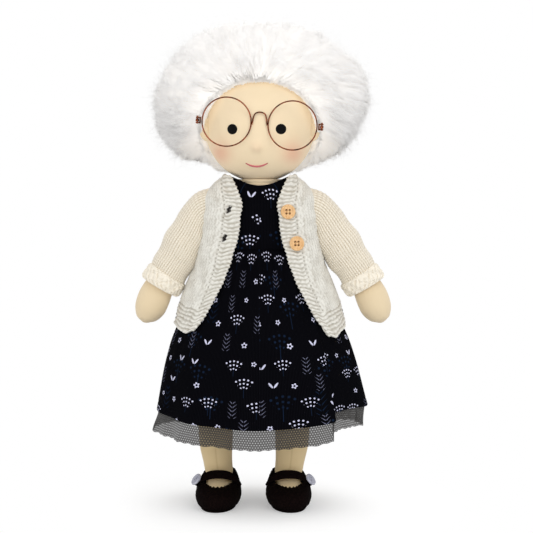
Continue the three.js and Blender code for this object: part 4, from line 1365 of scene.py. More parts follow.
        # Tone rises from root to tip over each strand's random tone: painted shade deeper in the hair.
        tip = np.linspace(-0.08, 0.12, knots)[None, :, None]
        marks = {"tone": np.clip(np.broadcast_to(tone[:, None, None] + tip, (count, knots, 2)), 0.0, 1.0)}
        none = np.zeros((0, 3), int)
        piece = fill_mesh(name, pair.reshape(-1, 3), quads, corner, none, np.zeros((0, 2)), marks, finish)
        lean = unit(normal[:, :, None] + 0.55 * np.array([-1.0, 1.0])[None, None, :, None] * flat[:, :, None])
        piece.data.normals_split_custom_set_from_vertices(lean.reshape(-1, 3).astype(np.float32))
        return piece

    def cap(self) -> Patch:
        """The sewn cap: a half ball about the slanted axis of the hairline, 0.8 mm thick."""
        slant = math.radians(37.9)
        axis = np.array([0.0, math.cos(slant), math.sin(slant)])
        first, second = basis(axis)
        angle = around(96)[None, :, None]
        lean = np.linspace(0.03, 0.49 * math.pi, 40)[:, None, None]
        ray = np.cos(lean) * axis + np.sin(lean) * (np.cos(angle) * first + np.sin(angle) * second)
        middle = np.array([0.0, 0.0, HEAD_MIDDLE])
        loops = np.cos(40.0 * lean) * np.cos(24.0 * angle)
        outer = middle + ray * (self.cap_radius - 0.0002 + 0.0001 * loops)
        inner = (middle + ray * (self.cap_radius - 0.0008))[::-1]
        points = np.concatenate([outer, inner])
        height = np.tile((0.5 + 0.5 * loops)[..., 0], (2, 1))
        return Patch(points, ring=True, ends=(True, True), marks={"height": height})

    def build(self, finishes: Finishes) -> None:
        """Makes the cap, the mass, and the locks in four pieces, all on the head's body."""
        rng = np.random.default_rng(SEED)
        cap = make_piece("sewn_cap", [self.cap()], finishes.cap)
        settle(cap, ["wig_cap"], "head")
        mass = make_piece("hair_mass", [self.mass()], finishes.roots)
        settle(mass, ["hair"], "head")
        lines = self.strand_lines(rng, self.locks, self.strands, (0.022, 0.046), (0.0, 0.004), 0.0034)
        spot = lines[0][:, 0]
        back = spot[:, 1] > 0.012
        groups = {
            "hair_locks_front_right": ~back & (spot[:, 0] < 0.0),
            "hair_locks_front_left": ~back & (spot[:, 0] >= 0.0),
            "hair_locks_back_right": back & (spot[:, 0] < 0.0),
            "hair_locks_back_left": back & (spot[:, 0] >= 0.0),
        }
        for name, chosen in groups.items():
            part = tuple(values[chosen] for values in lines)
            settle(self.ribbons(name, part, 0.00034, finishes.hair), (), "head")
        brow = self.strand_lines(rng, self.fringe, 7, (0.012, 0.024), (0.0, 0.002), 0.002, (0.0, 0.14))
        settle(self.ribbons("hair_fringe", brow, 0.0003, finishes.roots), (), "head")
        loose = self.strand_lines(rng, self.loose, 1, (0.016, 0.042), (0.002, 0.0125), 0.0015)
        settle(self.ribbons("hair_wisps", loose, 0.00024, finishes.hair), (), "head")


# Glasses


@dataclass
class Glasses:
    """Wire glasses: two rims, a bridge, hinges and temples, drawn level and then rolled."""

    rise: float = 0.3146
    depth: float = -0.0456
    roll: float = math.radians(3.3)
    wire: float = 0.00056
    rim_radius: float = 0.0194
    rim_spacing: float = 0.0524
    bridge_half: float = 0.0053
    bridge_rise: float = 0.009
    hinge_out: float = 0.0494
    temple_end: float = 0.0124

    def rolled(self, points: Array) -> Array:
        """Turns points about Y and raises them to the face."""
        cos, sin = math.cos(self.roll), math.sin(self.roll)
        x = points[..., 0] * cos + points[..., 2] * sin
        z = points[..., 2] * cos - points[..., 0] * sin
        return vectors(x, points[..., 1], z + self.rise)

    def rim(self, side: Side) -> Patch:
        """A wire round a circle."""
        turn = around(140)
        x = side.value * self.rim_spacing / 2.0 + self.rim_radius * np.cos(turn)
        path = self.rolled(vectors(x, self.depth, self.rim_radius * np.sin(turn)))
        return tube(path, self.wire, (0.0, 1.0, 0.0), 12, loop=True)

    def bridge(self) -> Patch:
        """A wire bent as an upturned U between the rims, with solder at its ends."""
        half = [[1.2, -0.12], [1.06, 0.12], [1.0, 0.42], [0.72, 0.86]]
        bend = half + [[0.0, 1.0]] + [[-x, z] for x, z in half[::-1]]
        at = np.linspace(0.0, len(bend) - 1.0, 70)
        line = spline(bend, at) * np.array([self.bridge_half, self.bridge_rise])
        path = self.rolled(vectors(line[:, 0], self.depth, line[:, 1]))
        solder = 1.0 + 0.5 * bell(np.abs(at - 4.0) - 4.0, 0.35)
        return tube(path, self.wire * solder, (0.0, 1.0, 0.0), 12)

    def temple(self, side: Side) -> list[Patch]:
        """A straight wire from a small eye, which is a rounded ring about the screw."""
        x = side.value * self.hinge_out
        y = np.linspace(self.depth + 0.0013, self.temple_end, 40)
        thin = self.wire * (1.0 - 0.35 * smooth(self.temple_end - 0.004, self.temple_end, y))
        rod = tube(self.rolled(vectors(x, y, 0.0)), thin, (0.0, 0.0, 1.0), 10)
        shape = around(16)
        radius = 0.0011 + 0.0003 * bent(np.cos(shape), 0.5)
        height = 0.0011 * bent(np.sin(shape), 0.5)
        turn = around(28)[None, :]
        eye = vectors(
            x + radius[:, None] * np.cos(turn),
            self.depth + radius[:, None] * np.sin(turn),
            np.broadcast_to(height[:, None], (16, 28)),
        )
        return [rod, Patch(self.rolled(eye), ring=True, loop=True)]

    def build(self, finishes: Finishes, nodes: dict[str, Piece]) -> None:
        """Makes the wires, and gives the hinges of the frame their metals."""
        bridge = make_piece("bridge_wire", [self.bridge()], finishes.wire)
        settle(bridge, ["glasses_bridge"], "glasses")
        for side in Side:
            rim = make_piece(f"rim_wire_{side.word}", [self.rim(side)], finishes.wire)
            settle(rim, [f"glasses_rim_{side.word}"], "glasses")
            temple = make_piece(f"temple_wire_{side.word}", self.temple(side), finishes.wire)
            settle(temple, [f"temple_{side.word}"], f"temple_{side.word}")
            for name, finish in (("hinge_block", finishes.hinge), ("hinge_screw", finishes.wire)):
                node = nodes[f"{name}_{side.word}"]
                node.data.materials.clear()
                node.data.materials.append(finish)


# Body


@dataclass
class ArmLine:
    """The middle line that an arm, its sleeve and its cuff follow, by row number.

    Each row is the distance out from the torso, the drop below the shoulder and the turn of the
    ring in degrees.
    """

    torso_half: float = 0.036
    sway: dict[Side, float] = field(default_factory=lambda: {Side.RIGHT: -0.0022, Side.LEFT: 0.0032})
    rows: tuple[Point, ...] = (
        (0.0003, 0.0, 0.0),
        (0.005, 0.0, 2.0),
        (0.0125, 0.004, 20.0),
        (0.018, 0.014, 40.0),
        (0.0265, 0.0278, 50.0),
        (0.036, 0.0418, 54.0),
        (0.044, 0.0532, 57.0),
        (0.049, 0.0603, 59.0),
        (0.054, 0.0702, 64.0),
        (0.0578, 0.0798, 69.0),
        (0.0605, 0.087, 73.0),
        (0.0616, 0.0898, 75.0),
        (0.0621, 0.0911, 75.0),
    )

    def shell(self, row: Array, radius: Array, angle: Array, side: Side) -> Array:
        """Rings on the line: middle + radius (-cos a along Y + sin a along the ring's up).

        Args:
            row: row numbers, one for each ring.
            radius: radii of rings by columns.
            angle: angles of the columns, from the front.
            side: the doll's side.

        Returns:
            Points of rings by columns.
        """
        out, down, turn = spline(self.rows, row).T
        turn = np.radians(turn)[:, None]
        sway = self.sway[side] * smooth(1.0, 6.0, row)
        x = self.torso_half + (out + sway)[:, None] + radius * np.sin(angle) * np.sin(turn)
        z = SHOULDER - down[:, None] + radius * np.sin(angle) * np.cos(turn)
        return vectors(side.value * x, -radius * np.cos(angle), z)

    def length(self, row: Array) -> Array:
        """Length along the line up to each row number, for rows in rising order."""
        out, down, _ = spline(self.rows, row).T
        return lengths(vectors(out, 0.0, down), 0)


@dataclass
class Body:
    """The stuffed neck, torso, arms, legs and the rolled tape that the legs turn on."""

    line: ArmLine
    shoes: Shoes
    head_room: float = 0.0458
    neck_middle: float = 0.256
    neck_radius: float = 0.017
    hip: float = 0.157
    hip_out: tuple[float, float] = (-0.027, 0.023)
    knee_out: tuple[float, float] = (-0.0375, 0.0275)
    ankle_out: tuple[float, float] = (-0.036, 0.0255)
    thigh: float = 0.0284
    ankle: float = 0.0244
    ankle_back: float = 0.008
    foot_half: Point = (0.0135, 0.0245, 0.0095)
    foot_middle: float = 0.0118
    tape_radius: float = 0.002
    calf: float = 0.05
    arm_radii: tuple[float, ...] = (
        *(0.0116, 0.012, 0.0114, 0.0112, 0.0118, 0.0128, 0.0122),
        *(0.0122, 0.0134, 0.0126, 0.0088, 0.0045, 0.0015),
    )

    def neck(self) -> Patch:
        """A stub turned about Z: a round foot, a straight wall with one crease, a hollow top."""
        foot = np.linspace(-0.47 * math.pi, 0.1, 14)
        low = np.stack([0.0115 * np.cos(foot), 0.0115 * np.sin(foot)], axis=-1)
        rise = np.linspace(0.0035, 0.0146, 26)
        crease = 0.0006 * bell(rise - 0.0118, 0.0008)
        wall = np.stack([0.0117 + 0.0053 * smooth(0.002, 0.0085, rise) - crease, rise], axis=-1)
        inward = np.linspace(self.neck_radius - 0.0004, 0.001, 14)
        drop = HEAD_MIDDLE - self.neck_middle - np.sqrt(self.head_room**2 - inward**2)
        profile = np.concatenate([low, wall, np.stack([inward, drop], axis=-1)])
        return turned(profile.tolist(), np.array([0.0, 0.0, self.neck_middle]), np.array([0.0, 0.0, 1.0]), 72)

    def torso(self) -> Patch:
        """Oval rings from a flat bottom seam to square shoulders, then down into the neck's socket."""
        rows = [
            (0.1593, 0.0352, 0.0012),
            (0.1705, 0.0393, 0.013),
            (0.184, 0.041, 0.025),
            (0.2, 0.0385, 0.0255),
            (0.214, 0.036, 0.025),
            (0.243, 0.036, 0.025),
            (0.254, 0.0349, 0.0225),
            (0.2588, 0.0299, 0.0195),
            (0.2588, 0.0162, 0.0158),
            (0.2555, 0.0125, 0.0125),
            (0.2485, 0.0098, 0.0098),
            (0.2442, 0.003, 0.003),
        ]
        z, wide, deep = spline(rows, np.linspace(0.0, len(rows) - 1.0, 90)).T[:, :, None]
        angle = around(80)[None, :]
        points = vectors(wide * np.sin(angle), -deep * np.cos(angle), np.broadcast_to(z, (90, 80)))
        return Patch(points, ring=True, ends=(True, True))

    def arm(self, side: Side) -> Patch:
        """Rings along the arm line, swelling to the hand, with a shallow seam on the under side."""
        row = np.linspace(0.0, len(self.arm_radii) - 1.0, 110)
        radius = spline([[r] for r in self.arm_radii], row)
        angle = around(72)[None, :]
        seam = bell(angle - 1.5 * math.pi, 0.05)
        points = self.line.shell(row, radius * (1.0 - 0.03 * seam), angle, side)
        girth = np.linspace(0.0, TURN * 0.013, 73)
        uv = cloth_map(girth, self.line.length(row))
        marks = {"seam": np.broadcast_to(0.5 * seam, points.shape[:2]).copy()}
        return Patch(points, ring=True, ends=(True, True), uv=uv, marks=marks)

    def leg_middle(self, index: int, z: Array) -> Array:
        """The leg's middle at a height: out to the knee, then slightly back in to the ankle."""
        knee = 0.45 * self.hip
        at = [0.0, knee, self.hip]
        bend = [self.ankle_out[index], self.knee_out[index], self.hip_out[index]]
        return np.interp(z, at, bend)

    def leg(self, index: int) -> Patch:
        """Oval rings from the hip seam to the ankle, which spread forward into a foot.

        Below the ankle the radius at each angle is the larger of the leg's oval and the foot's
        ellipse about a point further forward, smoothed where they meet. A seam dents the front.
        """
        rows = [
            (0.0028, 0.0084, 0.0084, 1.0),
            (0.0118, 0.0112, 0.0112, 1.0),
            (0.0265, 0.012, 0.012, 1.0),
            (0.0565, 0.0139, 0.0136, 1.0),
            (0.091, 0.0142, 0.0139, 0.8),
            (0.13, 0.0142, 0.0131, 0.4),
            (0.1462, 0.0139, 0.0068, 0.2),
            (0.1547, 0.0131, 0.0012, 0.0),
        ]
        table = np.array(rows)
        z = np.concatenate([np.linspace(0.0028, 0.03, 46), np.linspace(0.031, 0.1547, 84)])
        at = np.interp(z, table[:, 0], np.arange(len(rows)))
        _, wide, deep, back = spline(rows, at).T[:, :, None]
        angle = around(96)[None, :]
        oval = 1.0 / np.sqrt((np.sin(angle) / wide) ** 2 + (np.cos(angle) / deep) ** 2)
        high = np.clip((z - self.foot_middle) / self.foot_half[2], -0.8, 0.999)[:, None]
        part = np.sqrt(1.0 - high**2)
        half_x, half_y = self.foot_half[0] * part, self.foot_half[1] * part
        ahead = self.foot_half[1] - self.ankle / 2.0
        a = (np.sin(angle) / half_x) ** 2 + (np.cos(angle) / half_y) ** 2
        b = ahead * np.cos(angle) / half_y**2
        c = ahead**2 / half_y**2 - 1.0
        root = b**2 - a * c
        foot = np.where(root > 0.0, (b + np.sqrt(np.maximum(root, 0.0))) / a, 0.0)
        foot = np.where(high < 0.998, np.maximum(foot, 0.0), 0.0)
        gap = foot - oval
        radius = 0.5 * (foot + oval + np.sqrt(gap**2 + 0.0012**2)) - 0.0003
        radius = radius * (1.0 + self.calf * smooth(0.032, 0.05, z) * (1.0 - smooth(0.09, 0.12, z)))[:, None]
        turn = (angle + math.pi) % TURN - math.pi
        seam = bell(turn, 0.05) * smooth(0.02, 0.03, z)[:, None]
        pucker = 1.0 + 0.25 * np.cos(TURN * z / 0.003)[:, None]
        radius = radius - 0.0003 * seam * pucker
        x = self.leg_middle(index, z)[:, None] + radius * np.sin(angle)
        y = back * self.ankle_back - radius * np.cos(angle)
        shift = self.shoes.shift(tuple(Side)[index], y) * (1.0 - smooth(0.016, 0.05, z))[:, None]
        points = vectors(x + shift, y, np.broadcast_to(z[:, None], x.shape))
        uv = cloth_map(np.linspace(0.0, TURN * 0.0135, 97), z)
        return Patch(points, ring=True, ends=(True, True), uv=uv, marks={"seam": 0.35 * seam})

    def tape(self) -> Patch:
        """A rolled tape along the hip seam."""
        x = np.linspace(self.hip_out[0] - self.thigh / 2.0, self.hip_out[1] + self.thigh / 2.0, 90)
        return tube(vectors(x, 0.0, self.hip), self.tape_radius, (0.0, 0.0, 1.0), 18)

    def build(self, finishes: Finishes) -> None:
        """Makes the stuffed pieces and sets each on its own body."""
        plain = [
            ("neck_stub", self.neck(), "neck", "neck", 0.9),
            ("torso_stuffed", self.torso(), "torso", "torso", 0.9),
            ("hip_roll", self.tape(), "hip_tape", "hips", 0.8),
        ]
        for index, side in enumerate(Side):
            for limb, patch in (("arm", self.arm(side)), ("leg", self.leg(index))):
                node = f"{limb}_{side.word}"
                plain.append((f"{limb}_stuffed_{side.word}", patch, node, node, 0.9))
        for name, patch, node, body, fill in plain:
            # Arms and legs take the painted-shade copies of the skin.
            finish = {"leg": finishes.leg, "arm": finishes.arm}.get(node[:3], finishes.skin)
            piece = make_piece(name, [patch], finish)
            settle(piece, [node], body)


# Shoes


@dataclass
class Shoes:
    """Felt shoes: soles, round uppers with an oval opening, straps and buttons."""

    middles: tuple[float, float] = (-0.036, 0.0255)
    heel: float = 0.0227
    length: float = 0.064
    width: float = 0.0368
    inward: float = 0.0016
    toe_out: float = 0.05
    sole: float = 0.002
    seat: float = 0.0023
    felt: float = 0.0019
    tuck: float = 0.0036
    belly: float = 0.0098
    opening_front: float = -0.0185
    opening_back: float = 0.0209
    opening_half: float = 0.0128
    strap_y: float = -0.011
    strap_half: tuple[float, float] = (0.01897, 0.0168)
    strap_rise: float = 0.0092
    strap_width: float = 0.005
    strap_top: float = 0.0075
    strap_lean: float = math.radians(52.0)
    strap_thick: float = 0.0018
    strap_end: float = math.radians(24.0)
    button_radius: float = 0.0053
    button_thick: float = 0.0024
    button_rise: float = math.radians(38.0)
    button_swing: float = math.radians(30.0)

    def shift(self, side: Side, y: Array) -> Array:
        """How far a shoe stands aside from its leg: inward as a whole, with the toes turned out."""
        return -side.value * (self.inward + self.toe_out * (y - self.strap_y))

    def outline(self, turn: Array, inset: float) -> tuple[Array, Array]:
        """The shoe's outline from above: an oval that is a little narrower at the heel."""
        half = self.length / 2.0 - inset
        y = self.heel - self.length / 2.0 - half * np.cos(turn)
        narrow = 1.0 - 0.1 * smooth(-0.01, 0.02, y)
        x = (self.width / 2.0 - inset) * narrow * bent(np.sin(turn), 0.9)
        return x, y

    def plate(self, middle: float) -> Patch:
        """The sole: the tucked-in outline as a plate with a rounded edge."""
        turn = around(120)
        x, y = self.outline(turn, self.tuck)
        rows = [(0.9, 0.0), (0.975, 0.0002), (1.0, 0.001), (0.985, 0.0018), (0.9, self.sole)]
        ahead = self.heel - self.length / 2.0
        shape = [vectors(middle + share * x, lerp(ahead, y, share), z) for share, z in rows]
        return Patch(np.stack(shape), ring=True, ends=(True, True))

    def upper(self, middle: float) -> Patch:
        """Felt from the sole to the opening, by an angle round and an angle of climb.

        The climb goes from below level at the tucked-in sole, through level at the widest part,
        to upright at the opening: the plan follows its cosine and the height its sine. The
        opening is low in front and high at the heel. The inner face lies a felt's thickness
        inside. Whipped stitches swell the lower edge and the rim.
        """
        turn = around(160)[None, :]
        start = math.radians(-48.0)
        climb = np.linspace(start, math.pi / 2.0, 36)[:, None]
        ox, oy = self.outline(turn, 0.0)
        half = (self.opening_back - self.opening_front) / 2.0
        py = (self.opening_back + self.opening_front) / 2.0 - half * np.cos(turn)
        px = self.opening_half * bent(np.sin(turn), 0.92)
        edge = 0.0182 + 0.0018 * smooth(-0.018, -0.007, py) + 0.0070 * smooth(-0.005, 0.014, py)
        plan = 1.0 - np.cos(climb)
        below = np.clip(-np.sin(climb) / math.sin(-start), 0.0, 1.0)
        tuck = 1.25 * self.tuck * (1.0 - np.sqrt(1.0 - 0.96 * below**2)) - 0.0005 * (1.0 - below)
        x = lerp(ox, px, np.where(climb < 0.0, 0.0, plan)) - tuck * np.sin(turn)
        y = lerp(oy, py, np.where(climb < 0.0, 0.0, plan)) + tuck * np.cos(turn)
        up, down = edge - self.belly, self.belly - self.seat
        z = self.belly + np.where(climb > 0.0, up * np.sin(climb), -down * below)
        outer = vectors(x, y, np.broadcast_to(z, x.shape))
        normal = grid_normals(outer, True)
        away = np.sum(normal * (outer - np.array([0.0, -0.004, 0.008])), axis=-1, keepdims=True)
        normal = normal * np.where(away < 0.0, -1.0, 1.0)
        low = bell(z - 0.0034, 0.0014)
        rim = smooth(0.9, 1.0, np.sin(climb))
        rough = 0.00045 * np.cos(44.0 * turn) * low + 0.0003 * np.cos(32.0 * turn) * rim
        wool = 0.00022 * np.sin(37.0 * turn + 9.0 * climb) * np.sin(23.0 * climb + 5.0 * turn)
        puff = outer + (rough + wool)[..., None] * normal
        inner = (outer - self.felt * normal)[::-1][::3]
        inner[..., 2] = np.maximum(inner[..., 2], self.seat)
        lip = 0.5 * (puff[-1] + inner[0])
        lip[..., 2] += 0.0007
        points = np.concatenate([puff, lip[None], inner])
        points[..., 0] += middle
        return Patch(points, ring=True, loop=True)

    def strap(self, middle: float) -> Patch:
        """A band with rounded edges along an oval arc over the instep, leaning back at its top."""
        turn = np.linspace(self.strap_end, math.pi - self.strap_end, 70)[:, None]
        shape = around(28)[None, :]
        top = np.sin(turn)
        width = lerp(self.strap_width, self.strap_top, smooth(0.5, 1.0, top))
        wide = 0.5 * width * bent(np.cos(shape), 0.45)
        thick = 0.5 * self.strap_thick * (1.0 + bent(np.sin(shape), 0.45))
        lean = self.strap_lean * smooth(0.45, 0.95, top)
        out = thick * np.cos(lean)
        flat = bent(np.cos(turn), 0.85)
        x = middle + (self.strap_half[0] + out) * flat
        z = self.strap_rise + (self.strap_half[1] + out) * top**0.85 + wide * np.sin(lean)
        y = self.strap_y + wide * np.cos(lean) - thick * np.sin(lean)
        return Patch(vectors(x, y, z), ring=True, ends=(True, True))

    def button(self, side: Side, middle: float) -> Patch:
        """A domed disc with a raised rim and two sewing dimples, turned half way to the front."""
        cos, sin = math.cos(self.button_rise), math.sin(self.button_rise)
        lift = self.strap_thick + 0.0003 + 0.5 * self.strap_width * math.sin(self.button_swing)
        base = np.array([
            middle + side.value * (self.strap_half[0] + lift) * cos,
            self.strap_y,
            self.strap_rise + (self.strap_half[1] + lift) * sin,
        ])
        out = side.value * cos * math.cos(self.button_swing)
        axis = np.array([out, -cos * math.sin(self.button_swing), sin])
        edge = [(0.4, 0.0), (0.8, 0.0), (0.93, 0.12), (1.0, 0.42)]
        edge += [(0.95, 0.78), (0.84, 0.93), (0.74, 0.9), (0.66, 0.82)]
        top = [(share, 0.8 + 0.06 * math.cos(share * 2.2)) for share in np.linspace(0.6, 0.03, 14)]
        profile = [(self.button_radius * r, self.button_thick * h) for r, h in edge + top]
        patch = turned(profile, base, axis, 48)
        return dimpled(patch, base, axis, 2, 0.26 * self.button_radius, 0.0006, 0.0008)

    def build(self, finishes: Finishes) -> None:
        """Makes both shoes; soles and uppers go with the legs, straps and buttons with the straps."""
        for middle, side in zip(self.middles, Side):
            word = side.word
            button = self.button(side, middle)
            pieces = [
                ("sole_felt", self.plate(middle), finishes.felt, "felt", "shoe_sole", "leg"),
                ("upper_felt", self.upper(middle), finishes.felt, "felt", "shoe_upper", "leg"),
                ("strap_felt", self.strap(middle), finishes.felt, "felt", "shoe_strap", "strap"),
                ("strap_button", button, finishes.shell, "shoe_button", "shoe_button", "strap"),
            ]
            for name, patch, finish, slot, node, body in pieces:
                patch.points[..., 0] += self.shift(side, patch.points[..., 1])
                piece = make_piece(f"{name}_{word}", [patch], finish)
                settle(piece, [f"{node}_{word}"], f"{body}_{word}")


def dimpled(
    patch: Patch, base: Array, axis: Array, count: int, out: float, radius: float, depth: float
) -> Patch:
    """Presses bell-shaped sewing holes into a turned disc and marks them.

    Args:
        patch: the disc.
        base: point of its axis at the back.
        axis: direction of its face.
        count: number of holes, evenly round the axis.
        out: distance of the holes from the axis.
        radius: radius of a hole.
        depth: depth of a hole.

    Returns:
        The same patch.
    """
    first, second = basis(axis)
    turn = around(count) + math.pi / 4.0
    spots = base + out * (np.cos(turn)[:, None] * first + np.sin(turn)[:, None] * second)
    away = patch.points[:, :, None] - spots
    height = np.sum((patch.points - base) * axis, axis=-1)
    flat = away - np.sum(away * axis, axis=-1, keepdims=True) * axis
    far = np.linalg.norm(flat, axis=-1).min(axis=-1)
    face = smooth(0.3 * height.max(), 0.6 * height.max(), height)
    hole = face * (1.0 - smooth(0.6 * radius, 1.3 * radius, far))
    patch.points = patch.points - (depth * hole)[..., None] * axis
    # The hole mark is where the finishes paint shade into the dimpled holes.
    patch.marks["hole"] = hole
    return patch


# Dress


@dataclass
class Dress:
    """The bodice, the gathered skirt and the net petticoat under it."""

    waist: float = 0.214
    skirt_length: float = 0.142
    waist_half: tuple[float, float] = (0.0377, 0.0267)
    hem_half: tuple[float, float] = (0.0865, 0.067)
    bell: float = 0.7
    fold_count: int = 9
    fold_depth: float = 0.03
    pleat: float = math.radians(42.0)
    pleat_depth: float = 0.0038
    pleat_jump: float = 0.0055
    fullness: float = 0.0034
    net_top: float = 0.0845
    net_bottom: float = 1.115
    net_inset: float = 0.0017

    def full(self, share: Array) -> Array:
        """Extra fullness below the cardigan: rises to a third of the way down, fades to the hem."""
        return self.fullness * smooth(0.3, 0.6, share) * (1.0 - 0.7 * smooth(0.65, 1.05, share))

    def folds(self, turn: Array) -> Array:
        """Folds of two lengths mixed: 0.7 cos 9a + 0.3 cos 12a, each with its own start."""
        return 0.7 * np.cos(self.fold_count * turn + 0.5) + 0.3 * np.cos((self.fold_count + 3) * turn + 2.0)

    def point(self, turn: Array, share: Array, out: Array) -> Array:
        """The skirt's surface: an oval that widens with share^0.7, waved by folds that deepen
        with share^2, with one pleat that steps in at an angle and an uneven hem.

        Args:
            turn: angle from the front towards the doll's left.
            share: way from the waist to the hem, 1 at the hem.
            out: distance outside the surface.

        Returns:
            The points.
        """
        low = np.minimum(share, 1.0)
        widen = np.where(share <= 1.0, np.maximum(low, 0.0) ** self.bell, 1.0 + 0.2 * (share - 1.0))
        wide = lerp(self.waist_half[0], self.hem_half[0], widen)
        deep = lerp(self.waist_half[1], self.hem_half[1], widen)
        fold = 1.0 + self.fold_depth * low**2 * self.folds(turn)
        out = out + self.full(share)
        around_pleat = (turn - self.pleat + math.pi) % TURN - math.pi
        step = smooth(-0.5, -0.02, around_pleat) * (1.0 - smooth(-0.02, 0.03, around_pleat))
        step = step - 0.6 * smooth(-0.02, 0.03, around_pleat) * (1.0 - smooth(0.03, 0.5, around_pleat))
        out = out + self.pleat_depth * low**1.5 * step
        lift = (0.0012 + 0.0085 * np.sin(turn) ** 2 + 0.002 * np.sin(turn) * np.abs(np.sin(turn))) * low**2
        jump = smooth(-0.01, 0.03, around_pleat) * (1.0 - smooth(0.03, 0.9, around_pleat))
        lift = lift + self.pleat_jump * jump * low**2
        ahead = smooth(-0.6, 0.0, np.cos(turn))
        fold = fold * (1.0 - 0.035 * low**2 * ahead * np.maximum(-np.sin(turn), 0.0))
        x = (wide * fold + out) * np.sin(turn)
        y = -(deep * fold + out) * np.cos(turn)
        return vectors(x, y, self.waist - share * self.skirt_length + lift)

    def skirt(self) -> Patch:
        """The skirt with fine gathers below the waist, and a hem turned up on the inside."""
        cols = 520
        flat = np.linspace(0.0, 1.0, 150)
        share = np.concatenate([flat, [1.003, 1.003, 0.998, 0.97, 0.94]])[:, None]
        inset = np.concatenate([np.zeros(150), [0.0002, 0.0007, 0.001, 0.001, 0.001]])[:, None]
        turn = around(cols)[None, :]
        ripple = np.cos(33.0 * turn + 1.3 * np.sin(3.0 * turn)) + 0.7 * np.cos(21.0 * turn + 2.0)
        gather = 0.0012 * ripple * np.exp(-share / 0.3) * smooth(-0.005, 0.05, share) + 0.0007
        stitch = -0.00035 * bell(share - 0.945, 0.003)
        seam = -0.0004 * bell(share, 0.006)
        points = self.point(turn, share, gather * (share < 1.0) + stitch + seam - inset)
        girth = np.linspace(0.0, 0.46, cols + 1)
        uv = cloth_map(girth, share.ravel() * 0.15)
        return Patch(points, ring=True, uv=uv, inside=(0.0, 0.0, 0.14))

    def petticoat(self) -> Patch:
        """One layer of net inside the skirt, with small flutes and a raw edge."""
        cols = 520
        share = np.linspace(self.net_top, self.net_bottom, 80)[:, None]
        turn = around(cols)[None, :]
        flutes = 0.0011 * np.cos(23.0 * turn + 0.7) * smooth(1.0, 1.12, share)
        side = np.sin(turn)
        spread = np.where(side > 0.0, -0.0032, 0.0042) * side**2 + 0.0024 * np.maximum(-np.cos(turn), 0.0)
        flare = smooth(0.97, 1.12, share) * spread
        raw = 0.0025 * (share > self.net_bottom - 0.002) * np.cos(61.0 * turn + 2.0 * np.sin(7.0 * turn))
        inset = self.net_inset + 0.0016 * (1.0 - smooth(0.9, 1.02, share))
        points = self.point(turn, share + raw, flutes + flare - inset)
        girth = np.linspace(0.0, 0.52, cols + 1)
        uv = cloth_map(girth, share.ravel() * self.skirt_length)
        return Patch(points, ring=True, uv=uv, inside=(0.0, 0.0, 0.12))

    def bodice(self) -> Patch:
        """Oval rings from the waist to the neckline, open at the armholes, turned in at the top."""
        rows = [
            (0.2095, 0.0371, 0.0261),
            (0.2145, 0.0377, 0.0267),
            (0.228, 0.0377, 0.0267),
            (0.243, 0.0377, 0.0267),
            (0.25405, 0.0366, 0.0242),
            (0.2603, 0.0333, 0.0229),
            (0.2651, 0.0256, 0.0213),
            (0.2656, 0.0249, 0.0206),
            (0.2646, 0.0244, 0.0202),
            (0.2615, 0.0252, 0.0204),
        ]
        z, wide, deep = spline(rows, np.linspace(0.0, len(rows) - 1.0, 70)).T[:, :, None]
        cols = 150
        turn = around(cols)[None, :]
        raised = 0.0075 * smooth(0.252, 0.265, z) * (1.0 - np.abs(np.cos(turn)) ** 3)
        points = vectors(wide * np.sin(turn), -deep * np.cos(turn), z + raised)
        middle = 0.5 * (points[:-1] + points[1:])
        hole = (np.hypot(middle[..., 1], middle[..., 2] - 0.243) < 0.0138) & (np.abs(middle[..., 0]) > 0.02)
        uv = cloth_map(np.linspace(0.0, 0.21, cols + 1), 0.3 - z.ravel())
        return Patch(points, ring=True, uv=uv, keep=~hole, inside=(0.0, 0.0, 0.235))

    def build(self, finishes: Finishes) -> None:
        """Makes the cloth; the bodice rides on the torso, and the skirt and net get their transforms baked.
        """
        bodice = make_piece("bodice_cloth", [self.bodice()], finishes.dress)
        settle(bodice, ["dress_bodice"], "torso")
        skirt = make_piece("skirt_cloth", [self.skirt()], finishes.dress)
        settle(skirt, ["dress_skirt"])
        net = make_piece("petticoat_cloth", [self.petticoat()], finishes.net)
        settle(net, ["petticoat"])
        for piece in (skirt, net):
            hang(piece)


def hang(piece: Piece) -> None:
    """Bakes a hanging cloth's transform into its mesh."""
    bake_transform(piece)


# Cardigan


def stitch_height(stitch: Stitch, column: Array, row: Array) -> Array:
    """Height of the yarn from 0 to 1, by place in stitches.

    Stocking stitch is two slanted legs to each column, whose thread rises as the sine of the way
    through a row. Garter is ridges that swell at each column, and moss is bumps on a chequered grid.

    Args:
        stitch: which stitch.
        column: place across, in stitches.
        row: place down, in rows.

    Returns:
        The heights.
    """
    if stitch is Stitch.STOCKING:
        across = np.abs(column % 1.0 - 0.5) * 2.0
        thread = np.sin(math.pi * ((row + 0.75 * across) % 1.0)) ** 0.9
        leg = (1.0 - across**2.6) * (1.0 - 0.3 * bell(across, 0.22))
        return leg * (0.45 + 0.55 * thread)
    if stitch is Stitch.GARTER:
        lean = row + 0.05 * np.cos(TURN * column)
        return (0.5 + 0.5 * np.cos(TURN * lean)) ** 0.8 * (0.8 + 0.2 * np.cos(TURN * column + 0.8))
    return 0.5 + 0.5 * np.cos(math.pi * column) * np.cos(math.pi * row)


def uneven(across: Array, down: Array) -> Array:
    """Hand-made unevenness from -1 to 1: the mean of three crossing waves of 14 to 30 mm."""
    first = np.sin(TURN * (across / 0.019 + down / 0.031) + 0.4)
    second = np.sin(TURN * (across / 0.027 - down / 0.016) + 2.1)
    third = np.sin(TURN * (across / 0.014 + down / 0.023) + 4.0)
    return (first + second + third) / 3.0


